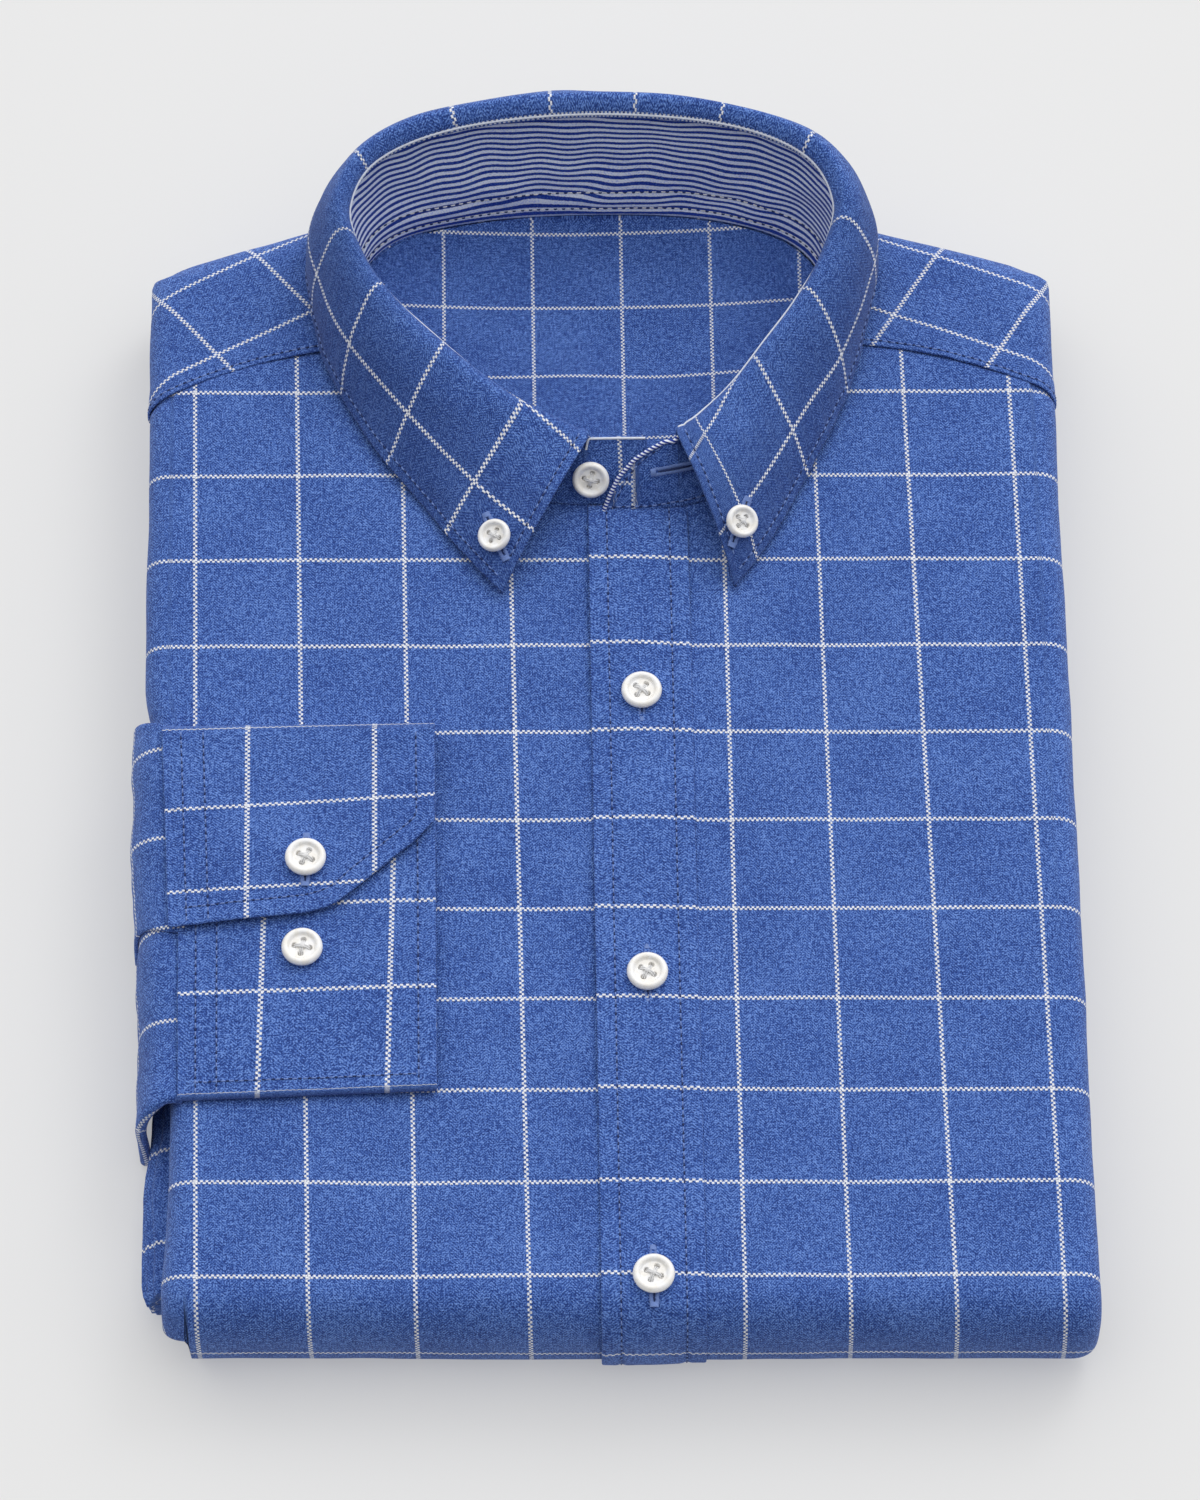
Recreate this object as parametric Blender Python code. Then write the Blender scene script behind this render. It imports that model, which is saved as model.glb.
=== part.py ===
"""Folded dress shirt: a long-sleeved button-down shirt, folded flat, with its collar standing up.

Frame: +X to the wearer's left, +Y from the tail to the collar, +Z up from the surface it lies on.
The pack's underside is at Z = 0. Lengths are in metres.
"""
import bpy
import bmesh
import numpy as np
from mathutils import Matrix, Vector

MM = 0.001

# ---- driving dimensions ---------------------------------------------------------------------
PACK_HEIGHT = 33.0 * MM          # hidden layers and front panels together
PACK_HALF_WIDTH = 130.9 * MM
BOTTOM_EDGE_Y = -187.0 * MM      # tip of the bottom fold on the centre line
BOTTOM_EDGE_SLANT = -0.0157      # the bottom fold runs a little off the grain
CLOTH = 1.7 * MM                 # wall of one cloth piece with its seam allowances
GAP = 0.35 * MM                  # between neighbouring pieces
SIDE_REACH = 7.5 * MM            # how far the side fold rounds in from the edge
SIDE_HALF_DEPTH = 8.0 * MM       # half the height of the upper stack of layers
END_REACH = 13.0 * MM            # how far the bottom and shoulder folds round in
FOLD_SQUARENESS = 2.4            # exponent of the folds' superellipse
CENTRE_X = 9.6 * MM              # line of the front buttons
PLACKET_WIDTH = 27.6 * MM
PLACKET_TOP_Y = 65.2 * MM
FRONT_BUTTON_RADIUS = 5.75 * MM
CUFF_BUTTON_RADIUS = 5.75 * MM
NECK_BUTTON_RADIUS = 5.3 * MM
COLLAR_BUTTON_RADIUS = 4.8 * MM
BUTTON_THICKNESS = 2.6 * MM
SHANK = 0.5 * MM                 # thread between a button and its cloth
NECK_BUTTON = (-3.4 * MM, 74.2 * MM)
COLLAR_BUTTON_RIGHT = (-31.0 * MM, 54.0 * MM)
COLLAR_BUTTON_LEFT = (38.2 * MM, 57.0 * MM)
FRONT_BUTTON_Y = (7.0 * MM, -82.0 * MM, -173.0 * MM)

# The pack's left edge, from the shoulder down: where the front panel's fold, the layers below it
# and the sleeve lie. Distances from the centre plane, in millimetres.
LEFT_EDGE = (
    # y,      front, under, sleeve
    (160.0,   130.9, 130.4, 132.7),
    (10.0,    130.9, 130.4, 132.7),
    (3.0,     129.0, 128.7, 132.7),
    (-4.0,    128.5, 128.4, 132.6),
    (-30.0,   127.8, 128.4, 132.4),
    (-64.0,   126.2, 128.2, 132.2),
    (-107.0,  123.4, 128.0, 132.1),
    (-122.0,  122.6, 128.2, 131.9),
    (-132.0,  122.4, 130.2, 131.9),
    (-150.0,  122.4, 130.6, 131.9),
    (-172.0,  124.2, 130.6, 131.9),
    (-200.0,  125.6, 129.8, 131.9),
)

# The shoulder line: the tip of the fold at the pack's top, in millimetres.
SHOULDER_LINE = (
    # x,     y
    (-131.0, 152.5),
    (-84.0,  167.0),
    (-70.0,  174.0),
    (-50.0,  180.0),
    (0.0,    183.0),
    (48.0,   179.5),
    (66.0,   172.5),
    (78.0,   165.5),
    (131.0,  149.5),
)

# The collar, from the right leaf's front edge round the back of the neck to the left leaf's front
# edge. Base is the neck seam, crest the roll line, edge the leaf's outer edge. Millimetres.
COLLAR_SECTIONS = (
    # base_x, base_y, crest_x, crest_y, crest_z, edge_x, edge_y, edge_z
    (-5.0,    68.6,   -5.0,    83.0,    47.0,    -29.5,  39.5,   36.0),
    (-17.0,   69.8,   -15.5,   87.5,    48.5,    -41.5,  54.0,   36.0),
    (-35.0,   76.5,   -30.5,   96.0,    51.0,    -55.0,  72.0,   36.2),
    (-53.5,   91.5,   -47.0,   109.5,   54.0,    -67.5,  90.0,   36.2),
    (-66.5,   110.0,  -61.5,   123.0,   57.5,    -77.0,  107.5,  36.4),
    (-72.5,   129.0,  -71.8,   137.5,   61.5,    -82.8,  127.0,  36.8),
    (-70.5,   147.0,  -76.0,   152.5,   66.0,    -85.5,  149.0,  37.6),
    (-59.0,   159.5,  -66.5,   168.5,   69.0,    -75.0,  172.0,  38.2),
    (-34.0,   165.8,  -41.0,   178.8,   71.0,    -46.0,  185.5,  38.6),
    (-2.0,    167.5,  -1.5,    182.0,   72.5,    -1.5,   189.5,  38.8),
    (30.0,    165.8,  37.5,    178.8,   71.0,    43.0,   185.5,  38.6),
    (54.5,    158.0,  62.0,    168.5,   69.0,    71.0,   171.5,  38.2),
    (66.0,    144.5,  71.4,    152.5,   66.0,    79.6,   148.5,  37.6),
    (68.0,    127.5,  67.6,    137.0,   61.5,    77.8,   127.0,  36.8),
    (62.5,    109.0,  59.0,    122.0,   57.5,    73.0,   107.0,  36.4),
    (51.5,    92.0,   48.0,    108.0,   54.0,    65.0,   89.5,   36.2),
    (40.0,    78.5,   38.0,    96.0,    51.0,    56.0,   71.0,   36.2),
    (31.0,    70.5,   28.5,    87.5,    49.0,    46.5,   54.0,   36.0),
    (22.0,    67.6,   21.5,    82.5,    48.0,    37.3,   40.8,   36.0),
)
LAST_SECTION = len(COLLAR_SECTIONS) - 1
RIGHT_SEAM_STATION = 4.65        # collar section where the right yoke seam meets the neck seam
LEFT_SEAM_STATION = 13.30
SEAM_OUTER_Y = 104.5 * MM        # yoke seam at the pack's edge
SEAM_BULGE = 3.8 * MM            # how far the yoke seam arches above a straight line

CUFF_LEFT_X = -121.6 * MM        # seam to the sleeve
CUFF_RIGHT_X = -49.2 * MM        # wrist edge
CUFF_TOP_Y = -3.2 * MM
CUFF_BOTTOM_Y = -118.8 * MM
CUFF_BOTTOM_SLANT = 0.028        # the cuff lies a little askew
CUFF_UNDER_END_Y = -32.0 * MM    # end of the under layer, below the flap
CUFF_UNDER_HEIGHT = 3.35 * MM    # top of the under layer above the front panel
CUFF_FLAP_HEIGHT = 5.6 * MM      # top of the flap above the front panel
CUFF_WALL = 1.5 * MM
SLEEVE_WALL = 2.4 * MM
CUFF_BUTTONS = ((-84.8, -46.6), (-86.0, -73.6))

# Free edge of the cuff's flap, from the sleeve seam to the wrist, with its cut corner. Millimetres.
CUFF_FLAP_EDGE = (
    # x,     y
    (-121.6, -66.8),
    (-101.0, -64.5),
    (-84.0,  -62.9),
    (-76.5,  -60.4),
    (-62.0,  -47.6),
    (-52.0,  -38.6),
    (-49.2,  -33.6),
)

HIDDEN_FRONT_X = CENTRE_X - 0.15 * MM    # where the two fronts meet under the placket
SHOULDER_CENTRE = (-2.0, 138.0)  # millimetres; the yoke's rays start about here
SHOULDER_CORNER = 7.0 * MM       # rounding of the pack's shoulder corners
NECK_CENTRE = (-2.0, 125.0)      # millimetres; middle of the dip at the neck
NECK_SEAM_INSET = 1.2 * MM       # the fronts and the yoke reach this far into the neck seam
BACK_NECK_INSET = 3.0 * MM
BACK_NECK_WALL = 1.4 * MM
BACK_NECK_END = 8.8              # collar section where the inside of the back ends


# ---- curves ---------------------------------------------------------------------------------
def column(table, index):
    """One named column of a table, in metres."""
    return np.array([row[index] for row in table]) * MM


def smooth_through(values, where):
    """Catmull-Rom curve through evenly spaced values, read at the fractional places `where`."""
    values = np.asarray(values, float)
    where = np.clip(np.asarray(where, float), 0.0, len(values) - 1.0)
    index = np.minimum(where.astype(int), len(values) - 2)
    step = where - index
    padded = np.concatenate([[2 * values[0] - values[1]], values, [2 * values[-1] - values[-2]]])
    before, start, end, after = (padded[index + k] for k in range(4))
    return 0.5 * (2 * start + (end - before) * step
                  + (2 * before - 5 * start + 4 * end - after) * step ** 2
                  + (3 * (start - end) + after - before) * step ** 3)


def fold_out(turn):
    """How far a fold stands out at a turn of 0 (top), 1 (tip) or 2 (underside): 0, 1, 0."""
    return np.abs(np.sin(turn * np.pi / 2)) ** (2 / FOLD_SQUARENESS)


def fold_down(turn):
    """How far a fold has come down at a turn of 0 (top), 1 (tip) or 2 (underside): 0, 1, 2."""
    across = np.cos(turn * np.pi / 2)
    return 1 - np.sign(across) * np.abs(across) ** (2 / FOLD_SQUARENESS)


def left_edge(y, which):
    """Distance of the left edge's layer from the centre plane at y."""
    order = column(LEFT_EDGE, 0)[::-1]
    return np.interp(y, order, column(LEFT_EDGE, which)[::-1])


def shoulder_y(x):
    return np.interp(x, column(SHOULDER_LINE, 0), column(SHOULDER_LINE, 1))


def bottom_y(x):
    return BOTTOM_EDGE_Y + BOTTOM_EDGE_SLANT * x


def collar_curve(first_column, stations, count=3):
    """Points of one line of the collar (base, crest or edge) at fractional sections."""
    return np.stack([smooth_through(column(COLLAR_SECTIONS, first_column + k), stations)
                     for k in range(count)], axis=-1)


def neck_hole(stations, inset):
    """The neck seam, moved towards the middle of the neck by `inset`."""
    stations = np.asarray(stations, float)
    here = collar_curve(0, stations, 2)
    ahead = collar_curve(0, stations + 0.05, 2) - collar_curve(0, stations - 0.05, 2)
    ahead /= np.linalg.norm(ahead, axis=-1, keepdims=True)
    return here + inset * np.stack([ahead[..., 1], -ahead[..., 0]], axis=-1)


# ---- meshes ---------------------------------------------------------------------------------
def material(name, color, roughness):
    surface = bpy.data.materials.new(name)
    surface.use_nodes = True
    shader = surface.node_tree.nodes["Principled BSDF"]
    shader.inputs["Base Color"].default_value = (*color, 1.0)
    shader.inputs["Roughness"].default_value = roughness
    shader.inputs["Metallic"].default_value = 0.0
    surface.diffuse_color = (*color, 1.0)
    return surface


def add_mesh(name, vertices, faces, surface, sharp_degrees=35.0):
    """One closed solid, with its faces turned outwards."""
    mesh = bpy.data.meshes.new(name)
    mesh.from_pydata([tuple(v) for v in vertices], [], [tuple(f) for f in faces])
    work = bmesh.new()
    work.from_mesh(mesh)
    bmesh.ops.recalc_face_normals(work, faces=work.faces[:])
    work.to_mesh(mesh)
    work.free()
    mesh.shade_smooth()
    mesh.set_sharp_from_angle(angle=np.radians(sharp_degrees))
    mesh.materials.append(surface)
    item = bpy.data.objects.new(name, mesh)
    bpy.context.scene.collection.objects.link(item)
    return item


def grid_normals(points):
    along_u = np.gradient(points, axis=0)
    along_v = np.gradient(points, axis=1)
    normals = np.cross(along_u, along_v)
    return normals / np.maximum(np.linalg.norm(normals, axis=-1, keepdims=True), 1e-12)


def closed_grid(front, back):
    """Vertices and faces of a wall between two grids of the same size, closed round its rim."""
    rows, cols = front.shape[:2]
    index = np.arange(rows * cols).reshape(rows, cols)
    under = index + rows * cols
    a, b, c, d = index[:-1, :-1], index[1:, :-1], index[1:, 1:], index[:-1, 1:]
    faces = np.stack([a, b, c, d], axis=-1).reshape(-1, 4).tolist()
    a, b, c, d = under[:-1, :-1], under[:-1, 1:], under[1:, 1:], under[1:, :-1]
    faces += np.stack([a, b, c, d], axis=-1).reshape(-1, 4).tolist()
    rim = np.concatenate([index[0, :-1], index[:-1, -1], index[-1, :0:-1], index[:0:-1, 0]])
    after = np.roll(rim, -1)
    faces += np.stack([rim, after, after + rows * cols, rim + rows * cols], axis=-1).tolist()
    return np.concatenate([front.reshape(-1, 3), back.reshape(-1, 3)]), faces


def cloth_wall(name, surface, points, thickness=CLOTH):
    """A cloth piece: a grid of points on its outer side, and a wall of even thickness behind."""
    vertices, faces = closed_grid(points, points - thickness * grid_normals(points))
    return add_mesh(name, vertices, faces, surface)


# ---- the pack's outer surface ---------------------------------------------------------------
def panel_points(inner_x, side, flat_x, top_y, rows, turns_side, turns_bottom):
    """A front panel over the pack: flat on top, round the side fold and under the bottom fold.

    Columns go from inner_x over the flat to the side fold; rows go from the top edge down to the
    bottom fold. The side fold is carried round the bottom fold, its deeper layers on a smaller
    radius.
    """
    middle = PACK_HEIGHT / 2
    turn = np.concatenate([np.zeros(len(flat_x)), turns_side])
    depth = SIDE_HALF_DEPTH * fold_down(turn)
    column_x = np.concatenate([flat_x, np.full(len(turns_side), flat_x[-1])])
    start_y = bottom_y(side * column_x) + END_REACH
    shares = np.concatenate([rows, np.ones(len(turns_bottom))])
    side_fold_turn = LEFT_FOLD_HELD_BACK if side < 0 else 1.0
    held_back = np.concatenate([np.ones(len(flat_x)), np.full(len(turns_side), side_fold_turn)])
    bottom_turn = np.concatenate([np.zeros(len(rows)), turns_bottom])[None, :] * held_back[:, None]
    y = top_y[:, None] + (start_y - top_y)[:, None] * shares[None, :]
    if side < 0:
        edge = left_edge(y, 1)
    else:
        edge = np.full_like(y, PACK_HALF_WIDTH)
    start_x = edge - SIDE_REACH
    spread = np.concatenate([(flat_x - inner_x) / (flat_x[-1] - inner_x), np.ones(len(turns_side))])
    x = inner_x + (start_x - inner_x) * spread[:, None] + SIDE_REACH * fold_out(turn)[:, None]
    radius = (middle - depth)[:, None]
    y = y - END_REACH * fold_out(bottom_turn) * (radius / middle)
    z = middle + radius * (1 - fold_down(bottom_turn))
    return np.stack([side * x, y, z], axis=-1)


def seam_y(x, inner, side):
    """The yoke seam between the neck seam and the pack's edge, arched a little."""
    share = np.clip((side * x - side * inner[0]) / (PACK_HALF_WIDTH - side * inner[0]), 0, 1)
    return inner[1] + (SEAM_OUTER_Y - inner[1]) * share + SEAM_BULGE * 4 * share * (1 - share)


def front_panel(name, side, surface):
    """Front panel from under the placket to the side fold, cut out for the neck."""
    stations = (np.linspace(0, RIGHT_SEAM_STATION, 60) if side < 0
                else np.linspace(LAST_SECTION, LEFT_SEAM_STATION, 60))
    neckline = neck_hole(stations, NECK_SEAM_INSET)
    corner = neckline[-1]
    inner_x = (side * HIDDEN_FRONT_X) + GAP / 2
    corner_x = side * corner[0]
    flat_x = np.concatenate([np.linspace(inner_x, corner_x, 9),
                             np.linspace(corner_x, PACK_HALF_WIDTH - SIDE_REACH, 5)[1:]])
    order = np.argsort(side * neckline[:, 0])
    neck_y = np.interp(flat_x, side * neckline[order, 0], neckline[order, 1])
    top_y = np.where(flat_x <= corner_x + 1e-9, neck_y, seam_y(side * flat_x, corner, side))
    turns_side = np.linspace(0, 1.5, 7)[1:]
    top_y = np.concatenate([top_y, np.full(len(turns_side), SEAM_OUTER_Y)]) - 2 * GAP
    rows = np.linspace(0, 1, 11)
    turns_bottom = np.linspace(0, 1.7, 8)[1:]
    points = panel_points(inner_x, side, flat_x, top_y, rows, turns_side, turns_bottom)
    return cloth_wall(name, surface, points if side < 0 else points[::-1])


def outline(angle, inset_side, inset_end):
    """Plan outline of the shoulders' part of the pack, seen from the neck at an angle."""
    centre = np.array(SHOULDER_CENTRE) * MM
    way = np.stack([np.cos(angle), np.sin(angle)], axis=-1)
    reach = np.linspace(30 * MM, 190 * MM, 1601)
    x = centre[0] + way[:, 0:1] * reach
    y = centre[1] + way[:, 1:2] * reach
    side_room = (PACK_HALF_WIDTH - np.abs(x)) - inset_side
    end_room = (shoulder_y(np.clip(x, -PACK_HALF_WIDTH, PACK_HALF_WIDTH)) - y) - inset_end
    corner = SHOULDER_CORNER
    inside = np.minimum(np.minimum(side_room, end_room),
                        corner - np.hypot(np.minimum(side_room - corner, 0),
                                          np.minimum(end_room - corner, 0)))
    hit = np.argmax(inside < 0, axis=1)
    return np.stack([x[np.arange(len(angle)), hit], y[np.arange(len(angle)), hit]], axis=-1)


def yoke(surface):
    """Yoke from seam to seam round the back of the neck, over the side and shoulder folds."""
    stations = np.linspace(RIGHT_SEAM_STATION, LEFT_SEAM_STATION, 31)
    inner = neck_hole(stations, NECK_SEAM_INSET)
    angle = np.linspace(np.radians(198.0), np.radians(-14.4), 31)
    tip = outline(angle, 0.0, 0.0)
    tip[0] = (-PACK_HALF_WIDTH, SEAM_OUTER_Y)
    tip[-1] = (PACK_HALF_WIDTH, SEAM_OUTER_Y)
    ahead = np.gradient(tip, axis=0)
    ahead /= np.linalg.norm(ahead, axis=-1, keepdims=True)
    away = np.stack([-ahead[:, 1], ahead[:, 0]], axis=-1)
    away[0] = (-1, 0)
    away[-1] = (1, 0)
    end_share = end_fold_share(away[:, 1])
    reach = SIDE_REACH + (END_REACH - SIDE_REACH) * end_share
    half_depth = SIDE_HALF_DEPTH + (PACK_HEIGHT / 2 - SIDE_HALF_DEPTH) * end_share
    start = tip - away * reach[:, None]
    share = np.linspace(0, 1, 6)
    flat = inner[:, None] + (start - inner)[:, None] * share[None, :, None]
    for row, side in ((0, -1), (-1, 1)):
        flat[row, :, 1] = seam_y(flat[row, :, 0], inner[row], side)
    turns = np.linspace(0, 1.6, 8)[1:]
    round_xy = start[:, None] + away[:, None] * (reach[:, None] * fold_out(turns))[..., None]
    round_z = PACK_HEIGHT - half_depth[:, None] * fold_down(turns)
    flat_z = np.full(flat.shape[:2], PACK_HEIGHT)
    points = np.concatenate([np.concatenate([flat, round_xy], axis=1),
                             np.concatenate([flat_z, round_z], axis=1)[..., None]], axis=-1)
    return cloth_wall("yoke", surface, points)


# ---- hidden layers --------------------------------------------------------------------------
def core_outline():
    """Plan outline of the pack, counter-clockwise, with its outward normals and which edge."""
    right = [(PACK_HALF_WIDTH, y) for y in np.linspace(-174 * MM, 138 * MM, 9)]
    top_x = np.linspace(121, -121, 19) * MM
    top = [(x, float(shoulder_y(x))) for x in top_x]
    left_y = np.array([141, 100, 50, 12, 3, -5, -30, -64, -107, -122, -132, -150, -174]) * MM
    left = [(-PACK_HALF_WIDTH, y) for y in left_y]
    bottom = [(x, float(bottom_y(x))) for x in np.linspace(-121, 121, 9) * MM]
    path = []
    runs = (right, top, left, bottom)
    for place, run in enumerate(runs):
        path += run
        start = np.array(run[-1])
        end = np.array(runs[(place + 1) % 4][0])
        before = start - np.array(run[-2])
        before /= np.linalg.norm(before)
        corner = start + before * np.dot(end - start, before)
        for share in (0.3, 0.6, 0.85):
            turn = share * np.pi / 2
            path.append(tuple(corner + (start - corner) * (1 - np.sin(turn))
                              + (end - corner) * (1 - np.cos(turn))))
    points = np.array(path)
    ahead = np.roll(points, -1, axis=0) - np.roll(points, 1, axis=0)
    ahead /= np.linalg.norm(ahead, axis=1, keepdims=True)
    return points, np.stack([ahead[:, 1], -ahead[:, 0]], axis=1)


def end_fold_share(facing):
    """0 where an edge faces sideways, 1 where it faces an end of the pack."""
    return np.clip((np.abs(facing) - 0.35) / 0.4, 0, 1)


def layer_inset(z, half_depth, middle, reach):
    """How far a fold of this reach and half depth stands back from its tip at height z."""
    rise = np.clip(abs(z - middle) / half_depth, 0, 1)
    return reach * (1 - (1 - rise ** FOLD_SQUARENESS) ** (1 / FOLD_SQUARENESS))


# Heights through the hidden layers, and how far the sides stand back there: grooves lie between
# the folded layers. Millimetres.
CORE_LEVELS = (
    # z,   groove
    (0.0,  0.0),
    (1.9,  0.0),
    (4.4,  0.0),
    (5.4,  1.2),
    (6.4,  0.0),
    (9.8,  0.0),
    (10.8, 1.2),
    (11.8, 0.0),
    (15.2, 0.0),
    (16.6, 3.6),
    (17.6, 1.4),
    (20.0, 0.0),
    (23.0, 0.0),
    (26.0, 0.0),
    (28.6, 0.0),
    (30.2, 0.0),
    (30.9, 0.0),
)
UPPER_STACK_FOOT = 17.0 * MM     # height at which the lower stack of layers ends
CORE_CLEARANCE = 1.7 * MM        # room between the hidden layers and the panels round them
LEFT_FOLD_HELD_BACK = 0.5        # share of the bottom fold's turn that the left side fold makes
CORNER_INSET = 7.0 * MM          # the layers stand further back at the shoulder corners
SHOULDER_CORNER_Y = 149.0 * MM
NECK_DIP = 8.0 * MM              # how far the hidden layers sink below the neck
NECK_SINK = 5.0 * MM             # how far the inside of the back sinks between the fronts
DIP_RINGS = ((1.0, 0.0), (0.90, 0.50), (0.72, 0.85), (0.40, 1.0))


def folded_back(surface):
    """The back, tail and far sleeve folded together: stacked outlines, with a dip at the neck."""
    points, normals = core_outline()
    ends = end_fold_share(normals[:, 1])
    near_end = np.minimum(1.0, 6 * ends)
    bottom_corner = (normals[:, 0] > 0.3) & (points[:, 1] < -160 * MM)
    from_edge = np.abs(points[:, 0]) - PACK_HALF_WIDTH
    to_shoulder = np.hypot(from_edge, points[:, 1] - SHOULDER_CORNER_Y)
    to_bottom = np.hypot(points[:, 0] + PACK_HALF_WIDTH, points[:, 1] - BOTTOM_EDGE_Y)
    corner_inset = CORNER_INSET * (np.exp(-(to_shoulder / (20 * MM)) ** 2)
                                   + np.exp(-(to_bottom / (12 * MM)) ** 2))
    near_end = np.where(bottom_corner, 1.0, near_end)
    left_share = np.clip((-points[:, 0] - 100 * MM) / (20 * MM), 0, 1)
    rings = []
    middle = PACK_HEIGHT / 2
    clear = CLOTH + CORE_CLEARANCE
    for z, groove in np.array(CORE_LEVELS) * MM:
        if z > UPPER_STACK_FOOT:
            side = clear + layer_inset(z, 7.1 * MM, 23.9 * MM, SIDE_REACH)
            recess = PACK_HALF_WIDTH - left_edge(points[:, 1], 1)
        else:
            side = (0.5 * MM + (clear - 0.5 * MM) * near_end
                    + layer_inset(z, 8.4 * MM, 8.2 * MM, SIDE_REACH))
            recess = PACK_HALF_WIDTH - 0.5 * MM - left_edge(points[:, 1], 2)
        end_height = max(z, 2.2 * MM)
        end = clear + layer_inset(end_height, middle - 2.0 * MM, middle, END_REACH)
        inset = (side + groove) * (1 - ends) + end * ends + corner_inset
        ring = points - normals * inset[:, None]
        ring[:, 0] += recess * left_share
        rings.append(np.column_stack([ring, np.full(len(ring), z)]))
    centre = np.array(NECK_CENTRE) * MM
    top_z = rings[-1][0, 2]
    away = rings[-1][:, :2] - centre
    angle = np.arctan2(away[:, 1], away[:, 0])
    hole = neck_hole(np.linspace(0, LAST_SECTION, 181), -1.0 * MM)
    hole_angle = np.unwrap(np.arctan2(hole[:, 1] - centre[1], hole[:, 0] - centre[0]))
    hole_reach = np.hypot(hole[:, 0] - centre[0], hole[:, 1] - centre[1])
    order = np.argsort(np.mod(hole_angle, 2 * np.pi))
    reach = np.interp(angle, np.mod(hole_angle, 2 * np.pi)[order], hole_reach[order],
                      period=2 * np.pi)
    for share, dip in DIP_RINGS:
        xy = centre + share * reach[:, None] * np.stack([np.cos(angle), np.sin(angle)], axis=1)
        rings.append(np.column_stack([xy, np.full(len(xy), top_z - dip * NECK_DIP)]))
    count = len(points)
    vertices = np.concatenate(rings + [[[*centre, top_z - NECK_DIP]]])
    faces = [list(range(count))[::-1]]
    for level in range(len(rings) - 1):
        start = level * count
        for k in range(count):
            after = (k + 1) % count
            faces.append([start + k, start + after, start + count + after, start + count + k])
    last = (len(rings) - 1) * count
    faces += [[last + k, last + (k + 1) % count, len(vertices) - 1] for k in range(count)]
    return add_mesh("folded_back", vertices, faces, surface)


def back_neck(surface):
    """Inside of the back, closing the neck opening and sinking a little in its middle."""
    station = np.linspace(0.0, BACK_NECK_END, 14)
    right = neck_hole(station, BACK_NECK_INSET)
    left = neck_hole(LAST_SECTION - station, BACK_NECK_INSET)
    share = np.linspace(0, 1, 10)
    xy = right[:, None] + (left - right)[:, None] * share[None, :, None]
    across = np.sin(np.pi * share)[None, :] ** 0.8
    sink = across * np.sin(np.pi * station / BACK_NECK_END)[:, None] ** 0.8
    z = PACK_HEIGHT - 0.1 * MM - NECK_SINK * np.abs(sink)
    points = np.concatenate([xy, z[..., None]], axis=-1)
    return cloth_wall("back_neck", surface, points[::-1], BACK_NECK_WALL)


# ---- collar ---------------------------------------------------------------------------------
STAND_WALL = 1.2 * MM
FACING_WALL = 1.0 * MM
LEAF_WALL = 1.5 * MM
STAND_BELOW_CREST = 3.6 * MM
FACING_BELOW_CREST = 5.2 * MM
LEAF_TONGUE = 4.4 * MM           # how far the leaf's roll reaches down inside the collar
LEAF_BULGE = 2.2 * MM
TAB_BELOW_CREST = 0.4 * MM       # the stand's free ends are as high as the roll
BUTTON_END_X = 12.0 * MM
BUTTONHOLE_END_Y = 66.2 * MM     # the buttonhole end lies in front of the button end

# The buttonhole end's rounded front edge: share of the stand's height, and x in millimetres.
BUTTONHOLE_END = (
    # share, x
    (0.0,    -0.3),
    (0.25,   2.4),
    (0.5,    5.2),
    (0.75,   9.0),
    (1.0,    14.5),
)


def collar_frame(stations):
    """Neck seam, crest, direction up the stand and direction into the neck at each station."""
    flat = collar_curve(0, stations, 2)
    base = np.column_stack([flat, np.full(len(flat), PACK_HEIGHT + GAP)])
    crest = collar_curve(2, stations)
    up = crest - base
    height = np.linalg.norm(up, axis=1, keepdims=True)
    up = up / height
    ahead = np.gradient(base, axis=0)
    ahead /= np.linalg.norm(ahead, axis=1, keepdims=True)
    inward = np.cross(ahead, up)
    inward /= np.linalg.norm(inward, axis=1, keepdims=True)
    return base, crest, up, inward, height[:, 0]


def above_panels(points):
    """Keep a collar piece clear of the panels that it stands on."""
    points[..., 2] = np.maximum(points[..., 2], PACK_HEIGHT + GAP)
    return points


def standing_wall(name, surface, stations, inset, wall, below_crest, rows):
    base, _, up, inward, height = collar_frame(stations)
    reach = np.linspace(0, 1, rows)[None, :, None] * (height - below_crest)[:, None, None]
    outer = base[:, None] + up[:, None] * reach + inward[:, None] * inset
    inner = outer + inward[:, None] * wall
    vertices, faces = closed_grid(above_panels(outer), above_panels(inner))
    return add_mesh(name, vertices, faces, surface)


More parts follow.
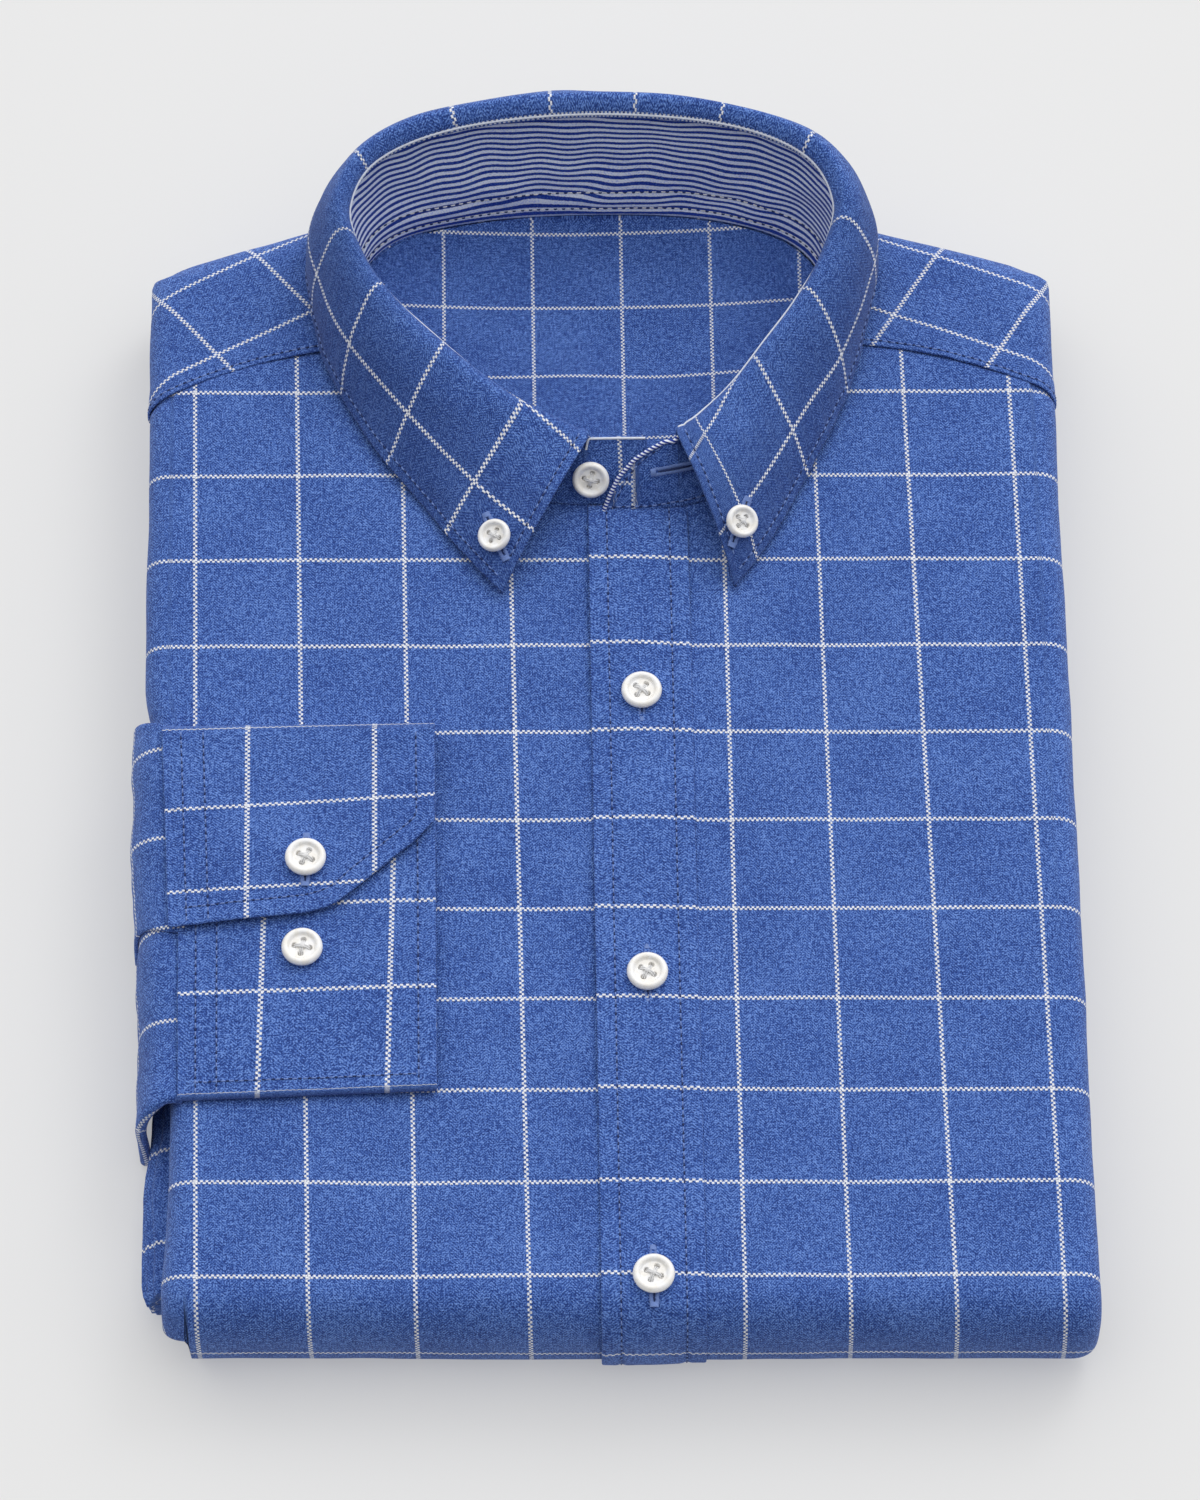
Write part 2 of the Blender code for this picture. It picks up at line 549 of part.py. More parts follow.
def collar_stand(surface):
    """The band round the neck, with a button end and a rounded buttonhole end that overlap.

    Returns the solid, and the outer side of the button end for its button.
    """
    ring = np.linspace(0, LAST_SECTION, 61)
    base, _, up, inward, height = collar_frame(ring)
    rows = np.linspace(0, 1, 5)
    body = base[:, None] + up[:, None] * (rows[None, :, None]
                                          * (height - STAND_BELOW_CREST)[:, None, None])
    share = np.linspace(1, 0, 6)[:-1]
    tall = rows[None, :, None] * (height[0] - TAB_BELOW_CREST)
    button_x = base[0, 0] + (BUTTON_END_X - base[0, 0]) * share
    button_base = np.column_stack([button_x, np.full((len(share), 2), base[0, 1:])])
    button_end = button_base[:, None] + up[0] * tall
    tall = rows[None, :, None] * (height[-1] - TAB_BELOW_CREST)
    end_x = np.interp(rows, column(BUTTONHOLE_END, 0) / MM, column(BUTTONHOLE_END, 1))
    step = share[::-1, None]
    hole_base = np.tile(base[-1], (len(share), 1))
    hole_base[:, 1] = np.minimum(base[-1, 1], BUTTONHOLE_END_Y)
    hole_end = hole_base[:, None] + up[-1] * tall
    hole_end[..., 0] = base[-1, 0] + (end_x[None, :] - base[-1, 0]) * step
    outer = np.concatenate([button_end, body, hole_end])
    behind = np.concatenate([np.tile(inward[0], (len(share), 1)), inward,
                             np.tile(inward[-1], (len(share), 1))])
    inner = outer + behind[:, None] * STAND_WALL
    vertices, faces = closed_grid(above_panels(outer), above_panels(inner))
    return add_mesh("collar_stand", vertices, faces, surface), button_end


def leaf_points(stations, falls):
    """Leaf's outer side: from its roll inside the collar, over the crest and down to its edge."""
    _, crest, up, inward, _ = collar_frame(stations)
    edge = collar_curve(5, stations)
    room = STAND_WALL + FACING_WALL + 3 * GAP
    tongue = crest - up * LEAF_TONGUE + inward * (room + LEAF_WALL)
    shoulder = crest - up * 0.6 * MM + inward * (room + LEAF_WALL - 0.3 * MM)
    top = crest + up * 1.9 * MM + inward * 1.4 * MM
    outside = crest + up * 0.3 * MM - inward * (LEAF_WALL + GAP)
    fall = edge - outside
    along = np.gradient(edge, axis=0)
    proud = np.cross(along, fall)
    proud /= np.linalg.norm(proud, axis=1, keepdims=True)
    rolls = np.stack([tongue, shoulder, top, outside], axis=1)
    falling = (outside[:, None] + fall[:, None] * falls[None, :, None]
               + proud[:, None] * (LEAF_BULGE * 4 * falls * (1 - falls))[None, :, None])
    return np.concatenate([rolls, falling], axis=1)


# ---- cuff and sleeve ------------------------------------------------------------------------
def cuff(surface):
    """Flattened cuff: under layer, bottom fold, hidden layer, top fold, then the shaped flap."""
    x = np.concatenate([np.linspace(-121.6, -84, 4), np.linspace(-76.5, -52, 4), [-49.2]]) * MM
    flap_end = np.interp(x, column(CUFF_FLAP_EDGE, 0), column(CUFF_FLAP_EDGE, 1))
    low = CUFF_BOTTOM_Y + CUFF_BOTTOM_SLANT * (x - CUFF_LEFT_X)
    floor = PACK_HEIGHT + GAP
    under = PACK_HEIGHT + CUFF_UNDER_HEIGHT
    flap = PACK_HEIGHT + CUFF_FLAP_HEIGHT
    small = (under - floor) / 2
    large = (flap - floor) / 2
    arc = np.linspace(0, np.pi, 6)
    y = []
    z = []
    for share in (0.0, 0.5):
        y.append(CUFF_UNDER_END_Y + (low + small - CUFF_UNDER_END_Y) * share)
        z.append(under)
    for turn in arc:
        y.append(low + small - small * np.sin(turn))
        z.append(floor + small + small * np.cos(turn))
    y.append((low + CUFF_TOP_Y) / 2)
    z.append(floor)
    for turn in arc:
        y.append(np.full_like(x, CUFF_TOP_Y) - large + large * np.sin(turn))
        z.append(floor + large - large * np.cos(turn))
    for share in (0.5, 1.0):
        y.append((CUFF_TOP_Y - large) + (flap_end - CUFF_TOP_Y + large) * share)
        z.append(flap)
    y = np.stack([np.broadcast_to(row, x.shape) for row in y])
    z = np.broadcast_to(np.array(z)[:, None], y.shape)
    across = np.broadcast_to(x[None, :], y.shape)
    outer = np.stack([across, y, z], axis=-1)
    step = np.gradient(outer[:, 0, 1:], axis=0)
    step[:2] = (-1, 0)
    step[-2:] = (-1, 0)
    step /= np.linalg.norm(step, axis=1, keepdims=True)
    inward = np.stack([np.zeros(len(step)), -step[:, 1], step[:, 0]], axis=-1)
    vertices, faces = closed_grid(outer, outer + CUFF_WALL * inward[:, None])
    return add_mesh("cuff", vertices, faces, surface)


def sleeve_strip(name, surface, top_height, proud, top_y, bottom_y_pair, foot, wall):
    """Part of the sleeve from the cuff's seam, round the pack's edge and down its side."""
    turns = np.linspace(0, 1, 8)
    share = np.linspace(0, 1, 7)
    out = np.concatenate([fold_out(turns), np.ones(2)])
    down = np.concatenate([fold_down(turns) * 0.5, [0.78, 1.0]])
    start_x = CUFF_LEFT_X - GAP
    top = top_y[0] + (top_y[1] - top_y[0]) * out
    low = bottom_y_pair[0] + (bottom_y_pair[1] - bottom_y_pair[0]) * out
    y = top[:, None] + (low - top)[:, None] * share[None, :]
    reach = left_edge(y, 3) + proud + start_x
    x = start_x - reach * out[:, None]
    z = np.broadcast_to((top_height - (top_height - foot) * down)[:, None], y.shape)
    points = np.stack([x, y, z], axis=-1)
    return cloth_wall(name, surface, points[::-1][:, ::-1], wall)


# ---- placket and buttons --------------------------------------------------------------------
def placket_points(across, rows, turns):
    """The placket's outer side: flat down the front, then under the bottom fold."""
    lift = GAP + CLOTH
    x = CENTRE_X + across
    start = bottom_y(x) + END_REACH
    shares = np.concatenate([rows, np.ones(len(turns))])
    turn = np.concatenate([np.zeros(len(rows)), turns])
    y = PLACKET_TOP_Y + (start - PLACKET_TOP_Y)[:, None] * shares[None, :]
    y = y - (END_REACH + lift) * fold_out(turn)[None, :]
    middle = PACK_HEIGHT / 2
    z = middle + (middle + lift) * (1 - fold_down(turn))
    across_grid = np.broadcast_to(x[:, None], y.shape)
    return np.stack([across_grid, y, np.broadcast_to(z[None, :], y.shape)], axis=-1)


# A button's turned profile: shares of its radius and of its thickness.
BUTTON_PROFILE = ((0.0, 0.0), (0.55, 0.0), (0.95, 0.30), (1.0, 0.55), (0.97, 0.9), (0.88, 1.0),
                  (0.72, 0.95), (0.60, 0.68), (0.0, 0.64))
BUTTON_SIDES = 20
BUTTON_HOLE_OFFSET = 0.27        # a hole's place each way from the middle, shares of the radius
BUTTON_HOLE_RADIUS = 0.12


def button(name, surface, seat, normal, radius):
    """A four-hole button: a turned disc with a raised rim, drilled through, set on its seat."""
    thick = BUTTON_THICKNESS
    profile = BUTTON_PROFILE
    sides = BUTTON_SIDES
    turn = np.arange(sides) * 2 * np.pi / sides
    vertices = [(0, 0, 0)]
    for r, h in profile[1:-1]:
        vertices += [(radius * r * np.cos(a), radius * r * np.sin(a), thick * h) for a in turn]
    vertices.append((0, 0, thick * profile[-1][1]))
    faces = [[0, 1 + (k + 1) % sides, 1 + k] for k in range(sides)]
    for ring in range(len(profile) - 3):
        start = 1 + ring * sides
        for k in range(sides):
            after = (k + 1) % sides
            faces.append([start + k, start + after, start + sides + after, start + sides + k])
    start = 1 + (len(profile) - 3) * sides
    faces += [[start + k, start + (k + 1) % sides, len(vertices) - 1] for k in range(sides)]
    item = add_mesh(name, vertices, faces, surface)
    turn_to = Vector(normal).to_track_quat('Z', 'Y')
    place = Matrix.Translation(Vector(seat)) @ turn_to.to_matrix().to_4x4()
    item.matrix_world = place
    offset = radius * BUTTON_HOLE_OFFSET
    for number, (sx, sy) in enumerate(((1, 1), (-1, 1), (-1, -1), (1, -1))):
        bpy.ops.mesh.primitive_cylinder_add(vertices=6, radius=radius * BUTTON_HOLE_RADIUS,
                                            depth=thick * 3)
        drill = bpy.context.object
        drill.name = f"{name}_drill_{number}"
        drill.matrix_world = place @ Matrix.Translation((sx * offset, sy * offset, thick / 2))
        drill.display_type = 'WIRE'
        drill.hide_render = True
        cut = item.modifiers.new(f"hole_{number}", 'BOOLEAN')
        cut.operation = 'DIFFERENCE'
        cut.object = drill
    return item


def nearest_seat(points, target, lift):
    """Point and outward normal of a grid surface nearest in plan to the target, lifted off it."""
    normals = grid_normals(points)
    away = np.hypot(points[..., 0] - target[0], points[..., 1] - target[1])
    place = np.unravel_index(np.argmin(away), away.shape)
    normal = normals[place]
    if normal[2] < 0:
        normal = -normal
    seat = points[place] + normal * lift
    return seat, normal


def main():
    for old in list(bpy.data.objects):
        bpy.data.objects.remove(old, do_unlink=True)
    cloth = material("blue_check_cotton", (0.070, 0.135, 0.420), 0.85)
    striped = material("striped_cotton", (0.200, 0.260, 0.520), 0.85)
    pearl = material("pearl_button", (0.870, 0.855, 0.820), 0.25)

    folded_back(cloth)
    front_panel("front_right", -1, cloth)
    front_panel("front_left", 1, cloth)
    yoke(cloth)
    back_neck(cloth)

    half = PLACKET_WIDTH / 2
    strip = placket_points(np.linspace(-half, half, 4), np.linspace(0, 1, 9),
                           np.linspace(0, 1.6, 8)[1:])
    cloth_wall("front_placket", cloth, strip[::-1])

    ring = np.linspace(0, LAST_SECTION, 61)
    _, button_end = collar_stand(cloth)
    standing_wall("collar_facing", striped, ring[1:-1], STAND_WALL + GAP, FACING_WALL,
                  FACING_BELOW_CREST, 4)
    leaf = leaf_points(ring, np.linspace(0, 1, 7)[1:])
    cloth_wall("collar_leaf", cloth, leaf, LEAF_WALL)

    cuff(cloth)
    sleeve_top = PACK_HEIGHT + CUFF_UNDER_HEIGHT
    sleeve_strip("sleeve", cloth, sleeve_top, 0.0, (-3.6 * MM, 0.2 * MM),
                 (-117.2 * MM, -121.4 * MM), 1.4 * MM, SLEEVE_WALL)
    sleeve_strip("sleeve_placket", cloth, PACK_HEIGHT + CUFF_FLAP_HEIGHT, GAP + CUFF_WALL,
                 (-3.4 * MM, 0.6 * MM), (-67.0 * MM, -64.0 * MM), 9.0 * MM, CUFF_WALL)

    up_z = (0, 0, 1)
    placket_top = PACK_HEIGHT + GAP + CLOTH + SHANK
    for number, y in enumerate(FRONT_BUTTON_Y, 1):
        button(f"button_front_{number}", pearl, (CENTRE_X, y, placket_top), up_z,
               FRONT_BUTTON_RADIUS)
    cuff_heights = (CUFF_FLAP_HEIGHT, CUFF_UNDER_HEIGHT)
    for number, ((x, y), height) in enumerate(zip(CUFF_BUTTONS, cuff_heights), 1):
        seat = (x * MM, y * MM, PACK_HEIGHT + height + SHANK)
        button(f"button_cuff_{number}", pearl, seat, up_z, CUFF_BUTTON_RADIUS)
    for side, target in (("right", COLLAR_BUTTON_RIGHT), ("left", COLLAR_BUTTON_LEFT)):
        fine_leaf = leaf_points(np.linspace(0, LAST_SECTION, 361), np.linspace(0.05, 1, 60))
        seat, normal = nearest_seat(fine_leaf, target, SHANK)
        button(f"button_collar_{side}", pearl, seat, normal, COLLAR_BUTTON_RADIUS)
    seat, normal = nearest_seat(button_end, NECK_BUTTON, SHANK)
    button("button_neck", pearl, seat, normal, NECK_BUTTON_RADIUS)


main()
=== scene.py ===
"""Folded dress shirt: the cloth, seams, buttons and the stage it lies on.

The frame's axes: +X to the wearer's left, +Y from the tail to the collar, +Z up from the surface.
Tables give millimetres; everything else is in metres.
"""

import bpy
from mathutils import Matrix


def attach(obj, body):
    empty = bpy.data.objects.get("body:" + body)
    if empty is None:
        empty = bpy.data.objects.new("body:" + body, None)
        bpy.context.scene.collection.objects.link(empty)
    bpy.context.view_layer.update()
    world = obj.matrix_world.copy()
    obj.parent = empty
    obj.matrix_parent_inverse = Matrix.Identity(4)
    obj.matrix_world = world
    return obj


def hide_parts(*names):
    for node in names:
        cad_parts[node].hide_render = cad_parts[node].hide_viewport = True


bl_info = {
    "name": "Folded dress shirt",
    "version": (1, 0, 0),
    "blender": (4, 5, 0),
    "location": "3D View > Sidebar > Shirt",
    "description": "Builds the cloth, stitching and buttons of a folded button-down shirt",
    "category": "Add Mesh",
}

import bpy
import numpy as np
from bpy.props import FloatProperty, FloatVectorProperty, PointerProperty
from mathutils import Matrix, Vector

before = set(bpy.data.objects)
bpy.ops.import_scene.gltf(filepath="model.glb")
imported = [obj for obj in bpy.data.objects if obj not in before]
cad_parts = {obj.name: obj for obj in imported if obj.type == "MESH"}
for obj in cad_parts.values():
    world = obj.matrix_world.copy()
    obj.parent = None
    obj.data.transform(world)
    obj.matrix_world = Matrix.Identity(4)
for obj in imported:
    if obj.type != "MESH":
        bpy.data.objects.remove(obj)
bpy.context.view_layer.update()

MM = 0.001

# ---- sizes shared by the pieces -------------------------------------------------------------
PACK_HEIGHT = 33.0 * MM
PACK_HALF_WIDTH = 130.9 * MM
CLOTH = 1.7 * MM
GAP = 0.35 * MM
BOTTOM_EDGE_Y = -187.0 * MM
BOTTOM_EDGE_SLANT = -0.0157
SIDE_REACH = 7.5 * MM
SIDE_HALF_DEPTH = 8.0 * MM
END_REACH = 13.0 * MM
FOLD_SQUARENESS = 2.4
CENTRE_X = 9.6 * MM
PLACKET_WIDTH = 27.6 * MM
PLACKET_TOP_Y = 65.2 * MM
PLACKET_LIFT = 1.9 * MM
CUFF_LEFT_X = -121.6 * MM
CUFF_RIGHT_X = -49.2 * MM
CUFF_TOP_Y = -3.2 * MM
CUFF_BOTTOM_Y = -118.8 * MM
CUFF_BOTTOM_SLANT = 0.028
CUFF_UNDER_END_Y = -32.0 * MM
CUFF_UNDER_HEIGHT = 3.35 * MM
CUFF_FLAP_HEIGHT = 5.6 * MM
STAND_WALL = 1.2 * MM
FACING_WALL = 1.0 * MM
LEAF_WALL = 1.5 * MM
STAND_BELOW_CREST = 3.6 * MM
LEAF_TONGUE = 4.4 * MM
LEAF_BULGE = 2.2 * MM
TAB_BELOW_CREST = 0.4 * MM
BUTTON_END_X = 12.0 * MM
BUTTONHOLE_END_Y = 66.2 * MM
BUTTONHOLE_END = ((0.0, -0.3), (0.25, 1.6), (0.5, 4.0), (0.75, 8.6), (0.9, 13.4), (1.0, 17.5))
NECK_SINK = 5.0 * MM
SHOULDER_CENTRE = (-2.0 * MM, 138.0 * MM)
FRONT_BUTTON_Y = (7.0 * MM, -82.0 * MM, -173.0 * MM)
CUFF_BUTTONS = ((-84.8 * MM, -46.6 * MM), (-86.0 * MM, -73.6 * MM))
NECK_BUTTON = (-3.4 * MM, 74.2 * MM)
COLLAR_BUTTON_RIGHT = (-31.0 * MM, 54.0 * MM)
COLLAR_BUTTON_LEFT = (38.2 * MM, 57.0 * MM)
FRONT_BUTTON_RADIUS = 5.75 * MM
NECK_BUTTON_RADIUS = 5.3 * MM
COLLAR_BUTTON_RADIUS = 4.8 * MM
BUTTON_THICKNESS = 2.6 * MM
BUTTON_WELL = 0.64               # height of the well as a share of the thickness
SHANK = 0.5 * MM
PLACKET_STITCH_INSET = 4.9 * MM
YOKE_STITCH_INSET = 1.3 * MM
LEAF_STITCH_INSET = 2.3 * MM
CUFF_STITCH_INSET = 4.9 * MM
BUTTONHOLE_HALF = 8.0 * MM
TWILL_BAND = 2.6                 # millimetres of cloth between turns of the twill
TWILL_PITCH = 0.95
ZIGZAG_PITCH = 1.40
FLOOR_REFLECTED, FLOOR_GLOW = 0.58, 0.42
SKY_TOWARDS = (0.14, 0.70, 0.70)
SKY_DARK, SKY_BRIGHT = 0.16, 1.38
LIGHTS = (
    # name,  towards it,         distance, size, power
    ("key",  (0.55, 0.72, 0.95), 3.0,      1.3,  12.0),
    ("fill", (-0.3, -0.35, 1.0), 3.0,      2.0,  1.6),
)
CAMERA_LENS = 178.9
CAMERA_AZIMUTH = 0.9
CAMERA_ELEVATION = 62.0
CAMERA_DISTANCE = 2.10
CAMERA_TARGET = (-0.0024, -0.0091, 0.030)
ROLL_TIGHTER = 0.9 * MM
# Painted shade on the collar's leaf: its cloth is darkened towards its outer edge; the lower the
# value, the darker
LEAF_PAINTED_SHADE = 0.62
STAND_LINE_X = 8.4 * MM
STAND_ROW_X = 6.0 * MM
STAND_LINE_HEIGHT = 0.42
STAND_BUTTONHOLE = (20.0 * MM, 75.3 * MM)
EDGE_LINE_RADIUS = 0.36 * MM
PIPING_RADIUS = 0.62 * MM
PIPING_PITCH = 1.5 * MM
BUTTON_HOLE_OFFSET = 0.265
BUTTON_HOLE_RADIUS = 0.125
LAYER_LEVELS = (2.7, 5.4, 8.1, 10.8, 13.6, 16.9, 19.6, 22.4, 25.2, 28.0)
LAYER_GROOVES = (1.0, 1.3, 0.9, 1.4, 1.1, 3.4, 1.2, 1.0, 1.2, 1.0)
FACING_STITCH_HEIGHTS = (2.6 * MM, 8.6 * MM)
SLEEVE_SEAM_STITCHES = (1.7 * MM, 7.9 * MM)
CUFF_UNDER_SEAM_SHIFT = (2.0 * MM, 1.3 * MM)
CUFF_FLAP_SEAM_SHIFT = (-1.0 * MM, -3.4 * MM)
CUFF_UNDER_ROWS = (30.2 * MM, 59.4 * MM, 86.0 * MM, 117.4 * MM)
UNDERSIDE_RINGS = (0.03, 0.2, 0.4, 0.6, 0.75, 0.87, 0.95)    # shares of the pack's outline
NECK_INSET = 1.2 * MM            # from the neck seam's line to the edge of the fronts and yoke
BELOW_YOKE = 3.2 * MM            # how far the fronts run on below the yoke
LAYERS_TOP = 30.9 * MM           # height of the topmost hidden layer
LAYERS_SPLIT = 17 * MM           # height between the lower and the upper folds at the sides
CORNER_INSET = 7 * MM            # how far the hidden layers draw in at the corners
CUFF_LINE_X = (-95.8 * MM, -101.3 * MM)    # the cuff's long line at the wrist and at the flap
CUFF_COLUMN_REPEAT = 35.6 * MM
CUFF_FLAP_ROW_Y = -28.9 * MM
CUFF_FLAP_ROW_REPEAT = 25.8 * MM
LIP_STEP = 0.36 * MM             # from one thread of a buttonhole's lip to the next
LIP_OFFSET = 0.78 * MM           # from the slit to the middle of a lip
BAR_THREADS = 5
BAR_STEP = 0.27 * MM
# The needle holes' dark marks are painted shade
NEEDLE_HOLE_HALF = (0.56 * MM, 0.26 * MM)  # half length and half width
FLOOR_HALF = 4.0

# Grid counts that several functions need.
CUFF_UNDER_COUNT = 84            # rows of the cuff's under layer
CUFF_FLAP_COUNT = 66             # rows of its flap, the last of its grid
STAND_END_COUNT = 26             # rows of each end of the collar's stand
LEAF_ROLL_COUNT = 30             # columns of the leaf from its inner border to past its crest

# Left edge of the pack: where the front panel's fold, the layers under it and the sleeve lie.
LEFT_EDGE = (
    # y,      front, under, sleeve
    (160.0,   130.9, 130.4, 132.7),
    (10.0,    130.9, 130.4, 132.7),
    (3.0,     129.0, 128.7, 132.7),
    (-4.0,    128.5, 128.4, 132.6),
    (-30.0,   127.8, 128.4, 132.4),
    (-64.0,   126.2, 128.2, 132.2),
    (-107.0,  123.4, 128.0, 132.1),
    (-122.0,  122.6, 128.2, 131.9),
    (-132.0,  122.4, 130.2, 131.9),
    (-150.0,  122.4, 130.6, 131.9),
    (-172.0,  124.2, 130.6, 131.9),
    (-200.0,  125.6, 129.8, 131.9),
)

# Tip of the shoulder fold along the pack's top.
SHOULDER_LINE = (
    # x,     y
    (-131.0, 152.5),
    (-84.0,  167.0),
    (-70.0,  174.0),
    (-50.0,  180.0),
    (0.0,    183.0),
    (48.0,   179.5),
    (66.0,   172.5),
    (78.0,   165.5),
    (131.0,  149.5),
)

# The collar, from the right leaf's front edge round the back of the neck to the left leaf's.
COLLAR_SECTIONS = (
    # base_x, base_y, crest_x, crest_y, crest_z, edge_x, edge_y, edge_z
    (-5.0,    68.6,   -5.0,    83.0,    47.0,    -29.5,  39.5,   36.0),
    (-17.0,   69.8,   -15.5,   87.5,    48.5,    -41.5,  54.0,   36.0),
    (-35.0,   76.5,   -30.5,   96.0,    51.0,    -55.0,  72.0,   36.2),
    (-53.5,   91.5,   -47.0,   109.5,   54.0,    -67.5,  90.0,   36.2),
    (-66.5,   110.0,  -61.5,   123.0,   57.5,    -77.0,  107.5,  36.4),
    (-72.5,   129.0,  -71.8,   137.5,   61.5,    -82.8,  127.0,  36.8),
    (-70.5,   147.0,  -76.0,   152.5,   66.0,    -85.5,  149.0,  37.6),
    (-59.0,   159.5,  -66.5,   168.5,   69.0,    -75.0,  172.0,  38.2),
    (-34.0,   165.8,  -41.0,   178.8,   71.0,    -46.0,  185.5,  38.6),
    (-2.0,    167.5,  -1.5,    182.0,   72.5,    -1.5,   189.5,  38.8),
    (30.0,    165.8,  37.5,    178.8,   71.0,    43.0,   185.5,  38.6),
    (54.5,    158.0,  62.0,    168.5,   69.0,    71.0,   171.5,  38.2),
    (66.0,    144.5,  71.4,    152.5,   66.0,    79.6,   148.5,  37.6),
    (68.0,    127.5,  67.6,    137.0,   61.5,    77.8,   127.0,  36.8),
    (62.5,    109.0,  59.0,    122.0,   57.5,    73.0,   107.0,  36.4),
    (51.5,    92.0,   48.0,    108.0,   54.0,    65.0,   89.5,   36.2),
    (40.0,    78.5,   38.0,    96.0,    51.0,    56.0,   71.0,   36.2),
    (31.0,    70.5,   28.5,    87.5,    49.0,    46.5,   54.0,   36.0),
    (22.0,    67.6,   21.5,    82.5,    48.0,    37.3,   40.8,   36.0),
)
LAST_SECTION = len(COLLAR_SECTIONS) - 1
RIGHT_SEAM_STATION = 4.65
LEFT_SEAM_STATION = 13.30
SEAM_OUTER_Y = 104.5 * MM
SEAM_BULGE = 3.8 * MM

# Free edge of the cuff's flap, from the sleeve seam to the wrist, with its cut corner.
CUFF_FLAP_EDGE = (
    # x,     y
    (-121.6, -66.8),
    (-101.0, -64.5),
    (-84.0,  -62.9),
    (-76.5,  -60.4),
    (-62.0,  -47.6),
    (-52.0,  -38.6),
    (-49.2,  -33.6),
)

# Where the check's long lines cross the fronts, at the yoke and near the bottom fold.
CHECK_COLUMNS = (
    # line, top_x,  bottom_x
    (-6.0,  -176.4, -173.6),
    (-5.0,  -146.9, -144.0),
    (-4.0,  -117.4, -114.6),
    (-3.0,  -88.0,  -84.2),
    (-2.0,  -57.8,  -55.1),
    (-1.0,  -27.6,  -24.2),
    (0.0,   3.2,    5.0),
    (1.0,   34.0,   34.3),
    (2.0,   60.6,   62.8),
    (3.0,   86.9,   91.4),
    (4.0,   117.5,  120.8),
    (5.0,   147.0,  150.0),
    (6.0,   176.2,  179.2),
)
CHECK_TOP_Y = 105.0 * MM
CHECK_BOTTOM_Y = -172.0 * MM
CHECK_ROW_START_Y = 106.4 * MM
CHECK_ROW_SLANT = 0.0125

# Soft creases of the fronts: a straight crease from start to end, its width and its height.
FRONT_CREASES = (
    # x0,    y0,     x1,     y1,     width, height
    (-128.0, 96.0,   -60.0,  84.0,   9.0,   0.30),
    (-126.0, 40.0,   -92.0,  22.0,   8.0,   -0.28),
    (-46.0,  58.0,   -8.0,   12.0,   10.0,  0.32),
    (-40.0,  -20.0,  -10.0,  -66.0,  9.0,   -0.26),
    (-44.0,  -110.0, -8.0,   -92.0,  11.0,  0.30),
    (-120.0, -140.0, -70.0,  -152.0, 8.0,   0.26),
    (-62.0,  -182.0, -48.0,  -128.0, 10.0,  -0.28),
    (-30.0,  -186.0, -22.0,  -150.0, 7.0,   0.30),
    (56.0,   42.0,   110.0,  60.0,   12.0,  0.34),
    (30.0,   20.0,   70.0,   -12.0,  10.0,  -0.28),
    (90.0,   -10.0,  129.0,  -38.0,  9.0,   0.32),
    (28.0,   -70.0,  84.0,   -96.0,  12.0,  0.26),
    (60.0,   -186.0, 72.0,   -132.0, 9.0,   -0.32),
    (104.0,  -184.0, 112.0,  -120.0, 8.0,   0.30),
    (32.0,   -182.0, 40.0,   -150.0, 7.0,   0.28),
)

# Creases of the collar's facing: length along the neck seam and height.
FACING_CREASES = (
    # s0,    h0,   s1,     h1,   width, height
    (96.0,   4.0,  118.0,  30.0, 5.0,   0.6),
    (128.0,  30.0, 142.0,  8.0,  4.0,   -0.5),
    (160.0,  8.0,  186.0,  16.0, 4.5,   0.5),
    (205.0,  28.0, 216.0,  6.0,  4.0,   -0.45),
    (236.0,  6.0,  262.0,  30.0, 5.0,   0.6),
    (70.0,   24.0, 84.0,   6.0,  4.0,   0.4),
)

# One corner of the yoke's check lattice on each half, with its two steps.
YOKE_LATTICE_RIGHT = ((-127.9, 139.8), (27.8, 14.5), (16.7, -19.3))
YOKE_LATTICE_LEFT = ((115.4, 119.0), (-30.3, 12.0), (-13.0, -20.2))
YOKE_MEETING_Y = 170.0 * MM      # where the two lattices are matched behind the neck

YOKE_CREASES = (
    # x0,    y0,    x1,     y1,    width, height
    (-126.0, 128.0, -92.0,  142.0, 7.0,   0.34),
    (-112.0, 108.0, -84.0,  116.0, 8.0,   -0.30),
    (-104.0, 150.0, -86.0,  132.0, 7.0,   0.26),
    (88.0,   118.0, 122.0,  134.0, 8.0,   0.36),
    (92.0,   146.0, 110.0,  128.0, 6.0,   -0.30),
    (82.0,   104.0, 118.0,  112.0, 7.0,   0.26),
    (-40.0,  186.0, -30.0,  160.0, 9.0,   0.32),
    (36.0,   186.0, 30.0,   162.0, 8.0,   -0.30),
)

# Rows of the check inside the back of the neck: count and y.
BACK_NECK_ROWS = ((3.0, 70.0), (2.0, 93.3), (1.0, 114.1), (0.0, 137.4), (-1.0, 161.4), (-2.0, 185.0))

LEAF_CROSS_LINES = (
    # roll, edge
    (-0.90, -1.20),
    (1.60,  1.30),
    (2.95,  2.55),
    (4.25,  3.85),
    (5.35,  5.20),
    (6.80,  6.80),
    (7.97,  7.97),
    (8.70,  8.70),
    (9.30,  9.30),
    (9.95,  9.95),
    (10.95, 10.95),
    (12.55, 12.60),
    (13.90, 14.22),
    (15.35, 15.70),
    (17.22, 17.34),
    (18.30, 18.70),
)
# The check's long line on the leaf: how far it lies from the outer edge at each collar section.
LEAF_LONG_LINE = (
    # section, inset
    (0.0,  19.5),
    (1.35, 16.0),
    (2.0,  15.0),
    (4.0,  14.5),
    (9.0,  13.5),
    (12.6, 12.5),
    (14.2, 11.0),
    (15.4, 12.2),
    (18.0, 15.0),
)


